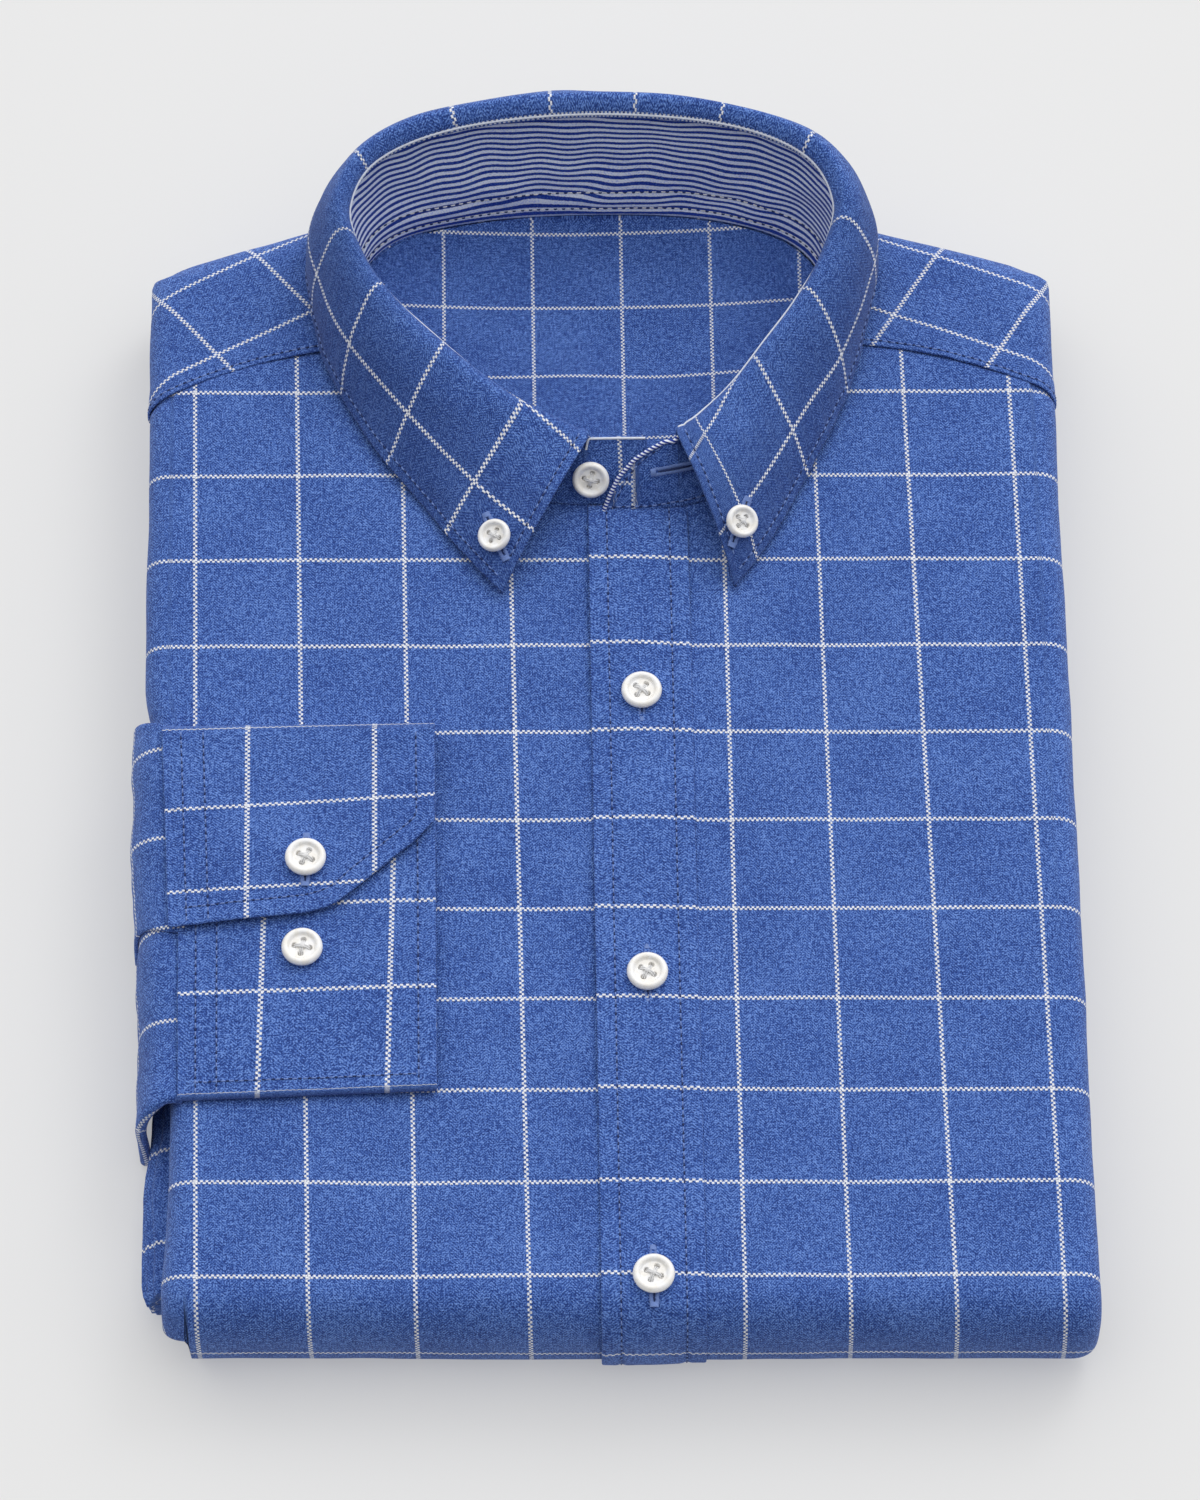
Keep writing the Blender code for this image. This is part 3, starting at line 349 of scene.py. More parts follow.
# ---- user's sizes and colours ---------------------------------------------------------------
class ShirtSizes(bpy.types.PropertyGroup):
    """Sizes that a user may change."""

    cloth: FloatProperty(name="Cloth", description="Thickness of one cloth piece with its seam",
                         default=0.8 * MM, min=0.2 * MM, max=2 * MM, unit='LENGTH')
    check_width: FloatProperty(name="Check width", description="Repeat of the check across",
                               default=29.2 * MM, min=5 * MM, max=80 * MM, unit='LENGTH')
    check_length: FloatProperty(name="Check length", description="Repeat of the check along",
                                default=27.85 * MM, min=5 * MM, max=80 * MM, unit='LENGTH')
    line_width: FloatProperty(name="Line width", description="Width of a white line in the check",
                              default=1.15 * MM, min=0.2 * MM, max=5 * MM, unit='LENGTH')
    stripe: FloatProperty(name="Facing stripe", description="Repeat of the collar facing's stripe",
                          default=2.05 * MM, min=1 * MM, max=10 * MM, unit='LENGTH')
    stitch: FloatProperty(name="Stitch", description="Length of one stitch on the surface",
                          default=1.50 * MM, min=0.5 * MM, max=5 * MM, unit='LENGTH')
    stitch_pitch: FloatProperty(name="Stitch pitch", description="From one stitch to the next",
                                default=2.45 * MM, min=1 * MM, max=8 * MM, unit='LENGTH')
    thread: FloatProperty(name="Thread", description="Half thickness of the sewing thread",
                          default=0.24 * MM, min=0.05 * MM, max=1 * MM, unit='LENGTH')
    crease: FloatProperty(name="Creases", description="Scale of the creases' height",
                          default=1.0, min=0.0, max=3.0, subtype='FACTOR')
    grid: FloatProperty(name="Grid", description="Grid step of the large cloth pieces",
                        default=1.5 * MM, min=0.8 * MM, max=6 * MM, unit='LENGTH')


def colour(name, description, value):
    """A colour that a user may change."""
    return FloatVectorProperty(name=name, description=description, default=value, size=3,
                               min=0.0, max=1.0, subtype='COLOR')


class ShirtColours(bpy.types.PropertyGroup):
    """Colours that a user may change."""

    cloth: colour("Cloth", "Blue of the cloth", (0.045, 0.115, 0.412))
    cloth_dark: colour("Cloth shade", "Darker threads of the cloth", (0.015, 0.046, 0.225))
    cloth_light: colour("Cloth fleck", "Lighter flecks of the cloth", (0.155, 0.288, 0.700))
    line: colour("Check line", "White of the check's lines", (0.950, 0.965, 0.990))
    stripe_dark: colour("Facing navy", "Dark stripe of the facing", (0.012, 0.040, 0.320))
    stripe_pale: colour("Facing white", "Pale stripe of the facing", (0.840, 0.890, 1.000))
    thread: colour("Thread", "Blue sewing thread", (0.200, 0.310, 0.680))
    # Painted shade: the dark colour of the marks laid in needle holes and buttonhole slits
    painted_hole_shade: colour("Needle holes", "Shade in holes and slits", (0.014, 0.032, 0.140))
    button: colour("Button", "Pearly body of the buttons", (0.900, 0.872, 0.825))
    button_thread: colour("Button thread", "White thread of the buttons", (0.860, 0.860, 0.870))
    floor: colour("Floor", "Pale floor", (0.800, 0.800, 0.800))


# ---- curves ---------------------------------------------------------------------------------
def column(table, index):
    """One named column of a table, in metres."""
    return np.array([row[index] for row in table]) * MM


def smooth_through(values, where):
    """Catmull-Rom curve through evenly spaced values, read at the fractional places `where`."""
    values = np.asarray(values, float)
    where = np.clip(np.asarray(where, float), 0.0, len(values) - 1.0)
    index = np.minimum(where.astype(int), len(values) - 2)
    step = (where - index).reshape(where.shape + (1,) * (values.ndim - 1))
    padded = np.concatenate([[2 * values[0] - values[1]], values, [2 * values[-1] - values[-2]]])
    before, start, end, after = (padded[index + k] for k in range(4))
    return 0.5 * (2 * start + (end - before) * step
                  + (2 * before - 5 * start + 4 * end - after) * step ** 2
                  + (3 * (start - end) + after - before) * step ** 3)


def smooth_step(value, low, high):
    """0 below low, 1 above high, with a soft S between them."""
    share = np.clip((value - low) / (high - low), 0, 1)
    return share * share * (3 - 2 * share)


def unit(vectors):
    """The vectors at length one."""
    return vectors / np.linalg.norm(vectors, axis=-1, keepdims=True)


def run_length(path):
    """Length along a path up to each of its points."""
    return np.concatenate([[0], np.cumsum(np.linalg.norm(np.diff(path, axis=0), axis=-1))])


def fold_out(turn):
    """How far a fold stands out at a turn of 0 (top), 1 (tip) or 2 (underside): 0, 1, 0."""
    return np.abs(np.sin(turn * np.pi / 2)) ** (2 / FOLD_SQUARENESS)


def fold_down(turn):
    """How far a fold has come down at a turn of 0 (top), 1 (tip) or 2 (underside): 0, 1, 2."""
    across = np.cos(turn * np.pi / 2)
    return 1 - np.sign(across) * np.abs(across) ** (2 / FOLD_SQUARENESS)


def fold_turns(last, count):
    """Turns whose steps along the fold are about even, from just past 0 to `last`."""
    fine = np.linspace(0, last, 400)
    run = np.concatenate([[0], np.cumsum(np.hypot(np.diff(fold_out(fine)), np.diff(fold_down(fine))))])
    return np.interp(np.linspace(0, run[-1], count + 1)[1:], run, fine)


def left_edge(y, which):
    """Distance of the left edge's layer from the centre plane at y."""
    order = column(LEFT_EDGE, 0)[::-1]
    y = np.asarray(y, float)
    spread = np.array([-4.0, 0.0, 4.0]) * MM
    value = column(LEFT_EDGE, which)[::-1]
    return np.mean([np.interp(y + step, order, value) for step in spread], axis=0)


def shoulder_y(x):
    """The shoulder fold's tip, its corners softened by a moving mean."""
    spread = np.array([-6.0, -3.0, 0.0, 3.0, 6.0]) * MM
    line = [np.interp(x + step, column(SHOULDER_LINE, 0), column(SHOULDER_LINE, 1))
            for step in spread]
    return np.mean(line, axis=0)


def bottom_y(x):
    """The bottom fold's tip, which runs a little off the level."""
    return BOTTOM_EDGE_Y + BOTTOM_EDGE_SLANT * x


def collar_curve(first_column, stations, count=3):
    """Points of one line of the collar (base, crest or edge) at fractional sections."""
    return np.stack([smooth_through(column(COLLAR_SECTIONS, first_column + k), stations)
                     for k in range(count)], axis=-1)


def neck_hole(stations, inset):
    """The neck seam, moved towards the middle of the neck by `inset`."""
    stations = np.asarray(stations, float)
    here = collar_curve(0, stations, 2)
    ahead = unit(collar_curve(0, stations + 0.05, 2) - collar_curve(0, stations - 0.05, 2))
    return here + inset * np.stack([ahead[..., 1], -ahead[..., 0]], axis=-1)


def wave_field(x, y, seed, wavelengths, heights):
    """Sum of sine waves in seeded directions: a soft unevenness of the given heights."""
    chance = np.random.default_rng(seed)
    total = np.zeros(np.broadcast(x, y).shape)
    for wavelength, height in zip(wavelengths, heights):
        for _ in range(4):
            angle = chance.uniform(0, np.pi)
            phase = chance.uniform(0, 2 * np.pi)
            along = (x * np.cos(angle) + y * np.sin(angle)) * 2 * np.pi / wavelength
            total = total + height / 2 * np.sin(along + phase)
    return total


def crease_field(x, y, creases):
    """Height of soft creases: a Gaussian ridge or trough about each line, fading at its ends."""
    total = np.zeros(np.broadcast(x, y).shape)
    for x0, y0, x1, y1, width, height in np.array(creases) * MM:
        way = np.array([x1 - x0, y1 - y0])
        length = np.hypot(*way)
        way = way / length
        along = ((x - x0) * way[0] + (y - y0) * way[1]) / length
        bend = 0.06 * length * np.sin(np.pi * along)
        across = (x - x0) * -way[1] + (y - y0) * way[0] - bend
        fade = smooth_step(along, -0.15, 0.25) * (1 - smooth_step(along, 0.75, 1.15))
        total = total + height * fade * np.exp(-(across / width) ** 2)
    return total


# ---- patches: cloth surfaces on a grid ------------------------------------------------------
def grid_normals(points):
    """Unit normals of a grid of points: the cross product of its two directions."""
    along_u = np.gradient(points, axis=0)
    along_v = np.gradient(points, axis=1)
    normals = np.cross(along_u, along_v)
    return normals / np.maximum(np.linalg.norm(normals, axis=-1, keepdims=True), 1e-12)


class Patch:
    """A cloth surface on a grid of two parameters: points, outward normals, cloth coordinates.

    Cloth coordinates count the check's repeats across and along.
    """

    def __init__(self, points, cloth):
        self.points = np.asarray(points, float)
        self.cloth = np.broadcast_to(cloth, self.points.shape[:2] + (2,)).astype(float)
        self.normals = grid_normals(self.points)

    def pushed(self, amount):
        """The same patch moved along its normals by an amount for each point."""
        return Patch(self.points + self.normals * np.asarray(amount)[..., None], self.cloth)

    def read(self, values, a, b):
        """Bilinear reading of a grid of values at fractional row a and column b."""
        rows, cols = values.shape[:2]
        a = np.clip(np.asarray(a, float), 0, rows - 1.000001)
        b = np.clip(np.asarray(b, float), 0, cols - 1.000001)
        i, j = a.astype(int), b.astype(int)
        s, t = (a - i)[..., None], (b - j)[..., None]
        return ((values[i, j] * (1 - s) + values[i + 1, j] * s) * (1 - t)
                + (values[i, j + 1] * (1 - s) + values[i + 1, j + 1] * s) * t)

    def place(self, a, b):
        """Points and unit normals at fractional grid places."""
        return self.read(self.points, a, b), unit(self.read(self.normals, a, b))


def rolled(patch, edge, radius, turn_degrees=150.0, steps=5):
    """The patch with one edge rolled under, as a pressed fold: an arc of the given radius carried
    on from the edge in the direction that the surface runs out."""
    points, cloth = patch.points, patch.cloth
    axis = 0 if edge in ("first_row", "last_row") else 1
    flip = edge in ("first_row", "first_column")
    grid = np.flip(points, axis) if flip else points
    pattern = np.flip(cloth, axis) if flip else cloth
    normals = np.flip(patch.normals, axis) if flip else patch.normals
    if axis == 1:
        grid, pattern, normals = (np.swapaxes(g, 0, 1) for g in (grid, pattern, normals))
    out = grid[-1] - grid[-2]
    step_length = np.linalg.norm(out, axis=-1, keepdims=True)
    normal = normals[-1]
    out = unit(out - normal * np.sum(out * normal, axis=-1, keepdims=True))
    turns = np.radians(np.linspace(0, turn_degrees, steps + 1)[1:])[:, None, None]
    added = grid[-1] + radius * (np.sin(turns) * out - (1 - np.cos(turns)) * normal)
    per_length = (pattern[-1] - pattern[-2]) / step_length
    added_cloth = pattern[-1] + per_length * radius * turns
    grid = np.concatenate([grid, added])
    pattern = np.concatenate([pattern, added_cloth])
    if axis == 1:
        grid, pattern = np.swapaxes(grid, 0, 1), np.swapaxes(pattern, 0, 1)
    if flip:
        grid, pattern = np.flip(grid, axis), np.flip(pattern, axis)
    return Patch(grid, pattern)


def edged(patch, *edges):
    """The patch with several edges rolled under, each given as its name, radius and turn."""
    for edge in edges:
        patch = rolled(patch, *edge)
    return patch


# ---- meshes ---------------------------------------------------------------------------------
def finish_mesh(name, mesh, surface, smooth_degrees=50.0):
    """Object for a mesh, shaded smooth with its sharp edges kept, with one material."""
    mesh.materials.append(surface)
    mesh.shade_smooth()
    mesh.set_sharp_from_angle(angle=np.radians(smooth_degrees))
    item = bpy.data.objects.new(name, mesh)
    bpy.context.scene.collection.objects.link(item)
    return item


def mesh_of(name, vertices, faces, cloth=None):
    """Mesh of triangles or quads from whole arrays; cloth coordinates go to the UV map `cloth`."""
    vertices = np.asarray(vertices, np.float32)
    faces = np.asarray(faces, np.int32)
    mesh = bpy.data.meshes.new(name)
    mesh.vertices.add(len(vertices))
    mesh.vertices.foreach_set("co", vertices.ravel())
    mesh.loops.add(faces.size)
    mesh.loops.foreach_set("vertex_index", faces.ravel())
    mesh.polygons.add(len(faces))
    mesh.polygons.foreach_set("loop_start", np.arange(0, faces.size, faces.shape[1], dtype=np.int32))
    mesh.update(calc_edges=True)
    if cloth is not None:
        layer = mesh.uv_layers.new(name="cloth")
        layer.uv.foreach_set("vector", np.asarray(cloth, np.float32)[faces.ravel()].ravel())
    mesh.validate()
    return mesh


def grid_faces(rows, cols):
    """Quads of an open grid of vertices."""
    index = np.arange(rows * cols).reshape(rows, cols)
    return np.stack([index[:-1, :-1], index[1:, :-1], index[1:, 1:], index[:-1, 1:]],
                    axis=-1).reshape(-1, 4)


def ring_triangles(index):
    """Triangles between rings of vertex numbers, where each ring closes on itself."""
    after = np.roll(index, -1, axis=1)
    a, b, c, d = index[:-1], after[:-1], after[1:], index[1:]
    return np.concatenate([np.stack([a, b, c], axis=-1).reshape(-1, 3),
                           np.stack([a, c, d], axis=-1).reshape(-1, 3)])


def joined(parts):
    """Points and faces of several parts as those of one mesh."""
    starts = np.cumsum([0] + [len(points) for points, _ in parts])
    return (np.concatenate([points for points, _ in parts]),
            np.concatenate([faces + start for (_, faces), start in zip(parts, starts)]))


def add_wall(item, thickness):
    """Give a surface its thickness, inwards."""
    wall = item.modifiers.new("wall", 'SOLIDIFY')
    wall.thickness = thickness
    wall.offset = -1.0


def cloth_piece(name, patch, surface, thickness, node):
    """Mesh of a patch given its thickness inwards, riding on the shirt."""
    rows, cols = patch.points.shape[:2]
    mesh = mesh_of(name, patch.points.reshape(-1, 3), grid_faces(rows, cols),
                   patch.cloth.reshape(-1, 2))
    item = finish_mesh(name, mesh, surface)
    add_wall(item, thickness)
    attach(item, "root")
    if node:
        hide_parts(node)
    return item


# ---- the fronts and the placket -------------------------------------------------------------
def front_columns(x, y):
    """Count of the check's columns at a place of the flat fronts: read from where the lines lie
    near the yoke and near the bottom fold, and mixed between them."""
    lines = np.array([row[0] for row in CHECK_COLUMNS])
    top = np.interp(x, column(CHECK_COLUMNS, 1), lines)
    bottom = np.interp(x, column(CHECK_COLUMNS, 2), lines)
    share = (y - CHECK_BOTTOM_Y) / (CHECK_TOP_Y - CHECK_BOTTOM_Y)
    return bottom + (top - bottom) * share


def front_rows(x, y, length):
    """Count of the check's rows down a front, which run a little off the level."""
    return (CHECK_ROW_START_Y - y - CHECK_ROW_SLANT * x) / length


def unfolded(points, flat_columns, flat_rows):
    """Plan places with the folds laid flat: past the flat part, lengths run on along the cloth."""
    x = np.abs(points[..., 0])
    run = np.linalg.norm(np.diff(points, axis=0), axis=-1)[flat_columns - 1:]
    x[flat_columns:] = x[flat_columns - 1] + np.cumsum(run, axis=0)
    y = points[..., 1].copy()
    run = np.linalg.norm(np.diff(points, axis=1), axis=-1)[:, flat_rows - 1:]
    y[:, flat_rows:] = y[:, flat_rows - 1:flat_rows] - np.cumsum(run, axis=1)
    return x, y


def seam_y(x, inner, side):
    """The yoke seam between the neck seam and the pack's edge, arched a little."""
    share = np.clip((side * x - side * inner[0]) / (PACK_HALF_WIDTH - side * inner[0]), 0, 1)
    return inner[1] + (SEAM_OUTER_Y - inner[1]) * share + SEAM_BULGE * 4 * share * (1 - share)


def front_patch(side, sizes):
    """A front: flat on the pack, round the side fold and under the bottom fold.

    Columns go from the centre to the side fold, rows from the neck and yoke seam to the bottom
    fold. Where the side fold is carried round the bottom fold its deeper layers turn on a smaller
    radius. The panel runs on a little below the yoke.
    """
    step = sizes.grid
    last_station = RIGHT_SEAM_STATION if side < 0 else LEFT_SEAM_STATION
    neckline = neck_hole(np.linspace(0 if side < 0 else LAST_SECTION, last_station, 200), NECK_INSET)
    corner = neckline[-1]
    inner_x = side * (CENTRE_X - 0.15 * MM) + GAP / 2
    corner_x = side * corner[0]
    flat_end = PACK_HALF_WIDTH - SIDE_REACH
    under_neck = int((corner_x - inner_x) / step)
    beside = int((flat_end - corner_x) / step)
    flat_x = np.concatenate([np.linspace(inner_x, corner_x, under_neck),
                             np.linspace(corner_x, flat_end, beside)[1:]])
    order = np.argsort(side * neckline[:, 0])
    neck_y = np.interp(flat_x, side * neckline[order, 0], neckline[order, 1])
    seam = seam_y(side * flat_x, corner, side)
    top_y = np.where(flat_x <= corner_x + 1e-9, neck_y, seam + BELOW_YOKE)
    turns_side = fold_turns(1.5, 15)
    turns_bottom = fold_turns(1.7, 22)
    top_y = np.concatenate([top_y, np.full(len(turns_side), SEAM_OUTER_Y + BELOW_YOKE)])
    rows = np.linspace(0, 1, int((SEAM_OUTER_Y - BOTTOM_EDGE_Y) / step))

    middle = PACK_HEIGHT / 2
    turn = np.concatenate([np.zeros(len(flat_x)), turns_side])
    depth = SIDE_HALF_DEPTH * fold_down(turn)
    start_x = np.concatenate([flat_x, np.full(len(turns_side), flat_end)])
    start_y = bottom_y(side * start_x) + END_REACH
    shares = np.concatenate([rows, np.ones(len(turns_bottom))])
    held_back = np.where(turn > 0, 0.5 if side < 0 else 1.0, 1.0)
    bottom_turn = np.concatenate([np.zeros(len(rows)), turns_bottom])[None, :] * held_back[:, None]
    y = top_y[:, None] + (start_y - top_y)[:, None] * shares[None, :]
    edge = left_edge(y, 1) if side < 0 else np.full_like(y, PACK_HALF_WIDTH)
    spread = np.concatenate([(flat_x - inner_x) / (flat_end - inner_x), np.ones(len(turns_side))])
    x = (inner_x + (edge - SIDE_REACH - inner_x) * spread[:, None]
         + SIDE_REACH * fold_out(turn)[:, None])
    radius = (middle - depth)[:, None]
    y = y - END_REACH * fold_out(bottom_turn) * (radius / middle)
    z = middle + radius * (1 - fold_down(bottom_turn))
    points = np.stack([side * x, y, z], axis=-1)

    far_x, far_y = unfolded(points, len(flat_x), len(rows))
    far_x = far_x * side
    cloth = np.stack([front_columns(far_x, far_y), front_rows(far_x, far_y, sizes.check_length)],
                     axis=-1)
    if side > 0:
        points, cloth, far_x, far_y = points[::-1], cloth[::-1], far_x[::-1], far_y[::-1]
        top_y = top_y[::-1]
    flat = Patch(points, cloth)
    push = crease_field(far_x, far_y, FRONT_CREASES) * sizes.crease
    push = push + wave_field(far_x, far_y, 5 + side, (90 * MM, 38 * MM, 17 * MM),
                             (0.26 * MM, 0.16 * MM, 0.07 * MM)) * sizes.crease
    push = push * smooth_step(far_y, BOTTOM_EDGE_Y - 60 * MM, BOTTOM_EDGE_Y + 20 * MM)
    below = smooth_step(far_y - (top_y - BELOW_YOKE)[:, None], -1.2 * MM, 0.6 * MM)
    beside_neck = np.abs(far_x) > corner_x
    push = np.where(beside_neck, push - 0.8 * MM * below, push)
    return flat.pushed(push)


def placket_patch(sizes):
    """The placket: flat down the front and under the bottom fold, its free edge higher than the
    edge by which it hangs on its front, with a shallow trough under each row of stitches."""
    half = PLACKET_WIDTH / 2
    across = np.linspace(-half, half, 51)
    lift = PLACKET_LIFT - 0.85 * MM * smooth_step(across, -2 * MM, half)
    x = CENTRE_X + across
    top = PLACKET_TOP_Y + 3.0 * MM
    start = bottom_y(x) + END_REACH
    rows = np.linspace(0, 1, 245)
    turns = fold_turns(1.6, 22)
    shares = np.concatenate([rows, np.ones(len(turns))])
    turn = np.concatenate([np.zeros(len(rows)), turns])
    y = top + (start - top)[:, None] * shares[None, :]
    y = y - (END_REACH + lift[:, None]) * fold_out(turn)[None, :]
    middle = PACK_HEIGHT / 2
    z = middle + (middle + lift[:, None]) * (1 - fold_down(turn))[None, :]
    points = np.stack([np.broadcast_to(x[:, None], y.shape), y, z], axis=-1)
    run = np.linalg.norm(np.diff(points, axis=1), axis=-1)
    far_y = top - np.concatenate([np.zeros((len(x), 1)), np.cumsum(run, axis=1)], axis=1)
    far_x = points[..., 0]
    cloth = np.stack([0.5 + across[:, None] / (1.3 * sizes.check_width) + 0 * y,
                      front_rows(far_x, far_y, sizes.check_length)], axis=-1)
    points, cloth, across, far_y = points[::-1], cloth[::-1], across[::-1], far_y[::-1]
    stitched = half - PLACKET_STITCH_INSET
    from_stitch = np.abs(np.abs(across) - stitched)[:, None]
    far_x = np.broadcast_to(across[:, None], far_y.shape)
    trough = 0.42 * MM * np.exp(-(from_stitch / (0.9 * MM)) ** 2)
    pucker = wave_field(far_x * 0.25, far_y, 17, (11 * MM, 6 * MM), (0.13 * MM, 0.09 * MM))
    pucker = pucker * np.exp(-(from_stitch / (3.4 * MM)) ** 2)
    wave = wave_field(far_x, far_y, 23, (60 * MM, 24 * MM), (0.20 * MM, 0.10 * MM))
    settle = 0.8 * MM * smooth_step(far_y, PLACKET_TOP_Y - 4 * MM, top)
    slits = np.zeros_like(far_y)
    for y_button in FRONT_BUTTON_Y:
        along = np.abs(far_y - y_button) / BUTTONHOLE_HALF
        across_slit = np.exp(-(far_x / (0.7 * MM)) ** 2)
        slits = slits + 0.35 * MM * across_slit * (1 - smooth_step(along, 0.8, 1.1))
    push = (pucker + wave) * sizes.crease - trough - settle - slits
    return Patch(points, cloth).pushed(push)


# ---- the yoke -------------------------------------------------------------------------------
def pack_outline(angle, inset_side, inset_end):
    """Outline of the shoulders in plan, seen from the neck at each angle, moved in by the insets:
    the last place along the ray that's inside the sides and the shoulder line, corners rounded."""
    way = np.stack([np.cos(angle), np.sin(angle)], axis=-1)
    reach = np.linspace(30 * MM, 190 * MM, 1601)
    x = SHOULDER_CENTRE[0] + way[:, 0:1] * reach
    y = SHOULDER_CENTRE[1] + way[:, 1:2] * reach
    side_room = (PACK_HALF_WIDTH - np.abs(x)) - inset_side
    end_room = (shoulder_y(np.clip(x, -PACK_HALF_WIDTH, PACK_HALF_WIDTH)) - y) - inset_end
    corner = 7.0 * MM
    inside = np.minimum(np.minimum(side_room, end_room),
                        corner - np.hypot(np.minimum(side_room - corner, 0),
                                          np.minimum(end_room - corner, 0)))
    hit = np.maximum(np.argmax(inside < 0, axis=1), 1)
    place = np.arange(len(angle))
    last, first_out = inside[place, hit - 1], inside[place, hit]
    exact = reach[hit - 1] + (reach[1] - reach[0]) * last / (last - first_out)
    return np.array(SHOULDER_CENTRE) + way * exact[:, None]


def yoke_check(x, y):
    """Check counts on the yoke, which is cut across the grain: each half has its own slanted
    lattice, and the two are drawn together towards the middle of the back."""
    def counts(lattice, x, y):
        corner, along, down = lattice
        basis = np.linalg.inv(np.array([along, down]).T * MM)
        return np.stack([x - corner[0] * MM, y - corner[1] * MM], axis=-1) @ basis.T

    right, left = counts(YOKE_LATTICE_RIGHT, x, y), counts(YOKE_LATTICE_LEFT, x, y)
    right_middle = counts(YOKE_LATTICE_RIGHT, 0 * x, y)
    left_middle = counts(YOKE_LATTICE_LEFT, 0 * x, y)
    meeting = (0.0, YOKE_MEETING_Y)
    shift = np.round(counts(YOKE_LATTICE_RIGHT, *meeting) - counts(YOKE_LATTICE_LEFT, *meeting))
    left, left_middle = left + shift, left_middle + shift
    mean = (right_middle + left_middle) / 2
    near = (1 - smooth_step(np.abs(x), 0, 75 * MM))[..., None]
    right = right + (mean - right_middle) * near
    left = left + (mean - left_middle) * near
    return np.where((x < 0)[..., None], right, left)


def yoke_patch(sizes):
    """The yoke: rays from the neck seam out to the pack's outline, then over the side and
    shoulder folds. Its first and last rays follow the yoke seams."""
    count = 280
    stations = np.linspace(RIGHT_SEAM_STATION, LEFT_SEAM_STATION, count)
    inner = neck_hole(stations, NECK_INSET)
    drop = SHOULDER_CENTRE[1] - SEAM_OUTER_Y
    first = np.pi + np.arctan2(drop, PACK_HALF_WIDTH + SHOULDER_CENTRE[0])
    last = -np.arctan2(drop, PACK_HALF_WIDTH - SHOULDER_CENTRE[0])
    angle = np.linspace(first, last, count)
    tip = pack_outline(angle, 0.0, 0.0)
    start = pack_outline(angle, SIDE_REACH, END_REACH)
    ahead = unit(np.gradient(tip, axis=0))
    end_share = np.clip((np.abs(ahead[:, 0]) - 0.35) / 0.4, 0, 1)
    half_depth = SIDE_HALF_DEPTH + (PACK_HEIGHT / 2 - SIDE_HALF_DEPTH) * end_share
    share = np.linspace(0, 1, 62)
    flat = inner[:, None] + (start - inner)[:, None] * share[None, :, None]
    turns = fold_turns(1.6, 24)
    over = start[:, None] + (tip - start)[:, None] * fold_out(turns)[None, :, None]
    plan = np.concatenate([flat, over], axis=1)
    place = np.linspace(0, 1, count)
    for row, side, near in ((0, -1, 1 - smooth_step(place, 0, 0.13)),
                            (-1, 1, smooth_step(place, 0.87, 1))):
        wanted = seam_y(plan[row, :, 0], inner[row], side)
        plan[..., 1] += (wanted - plan[row, :, 1])[None, :] * near[:, None]
    z = np.concatenate([np.full(flat.shape[:2], PACK_HEIGHT),
                        PACK_HEIGHT - half_depth[:, None] * fold_down(turns)], axis=1)
    points = np.concatenate([plan, z[..., None]], axis=-1)

    run = np.linalg.norm(np.diff(points, axis=1), axis=-1)[:, len(share) - 1:]
    away = unit(tip - start)
    far = points[..., :2].copy()
    far[:, len(share):] = (far[:, len(share) - 1:len(share)]
                           + away[:, None] * np.cumsum(run, axis=1)[..., None])
    cloth = yoke_check(far[..., 0], far[..., 1])
    base = Patch(points, cloth)
    from_seam = np.minimum(np.linalg.norm(points - points[:1], axis=-1),
                           np.linalg.norm(points - points[-1:], axis=-1))
    bulk = 0.28 * MM * (1 - smooth_step(from_seam, 5.5 * MM, 9 * MM))
    trough = 0.20 * MM * np.exp(-((from_seam - YOKE_STITCH_INSET) / (0.6 * MM)) ** 2)
    edge = 0.18 * MM * np.exp(-((from_seam - 0.4 * MM) / (0.6 * MM)) ** 2)
    wave = crease_field(far[..., 0], far[..., 1], YOKE_CREASES)
    wave = wave + wave_field(far[..., 0], far[..., 1], 31, (70 * MM, 30 * MM, 14 * MM),
                             (0.26 * MM, 0.14 * MM, 0.06 * MM))
    pucker = wave_field(far[..., 0], far[..., 1] * 0.3, 37, (9 * MM,), (0.10 * MM,))
    pucker = pucker * np.exp(-(from_seam / (6 * MM)) ** 2)
    return base.pushed(0.12 * MM + bulk - trough + edge + (wave + pucker) * sizes.crease)


def back_neck_patch(sizes):
    """Inside of the back between the two sides of the neck seam, sinking in its middle."""
    last = 8.97
    station = np.linspace(0.0, last, 110)
    right = neck_hole(station, 1.8 * MM)
    left = neck_hole(LAST_SECTION - station, 1.8 * MM)
    share = np.linspace(0, 1, 100)
    plan = right[:, None] + (left - right)[:, None] * share[None, :, None]
    sink = (np.sin(np.pi * share)[None, :] ** 0.8
            * np.sin(np.pi * np.clip(station / last, 0.02, 0.98))[:, None] ** 0.8)
    z = PACK_HEIGHT + 0.3 * MM - NECK_SINK * np.abs(sink)
    points = np.concatenate([plan, z[..., None]], axis=-1)
    x, y = plan[..., 0], plan[..., 1]
    cloth = np.stack([(x - 6.3 * MM) / (25.9 * MM),
                      np.interp(y, column(BACK_NECK_ROWS, 1), [row[0] for row in BACK_NECK_ROWS])],
                     axis=-1)
    wave = wave_field(x, y, 41, (60 * MM, 26 * MM), (0.5 * MM, 0.2 * MM)) * sizes.crease
    wave = wave * np.abs(sink)
    return Patch(points[::-1], cloth[::-1]).pushed(wave[::-1])


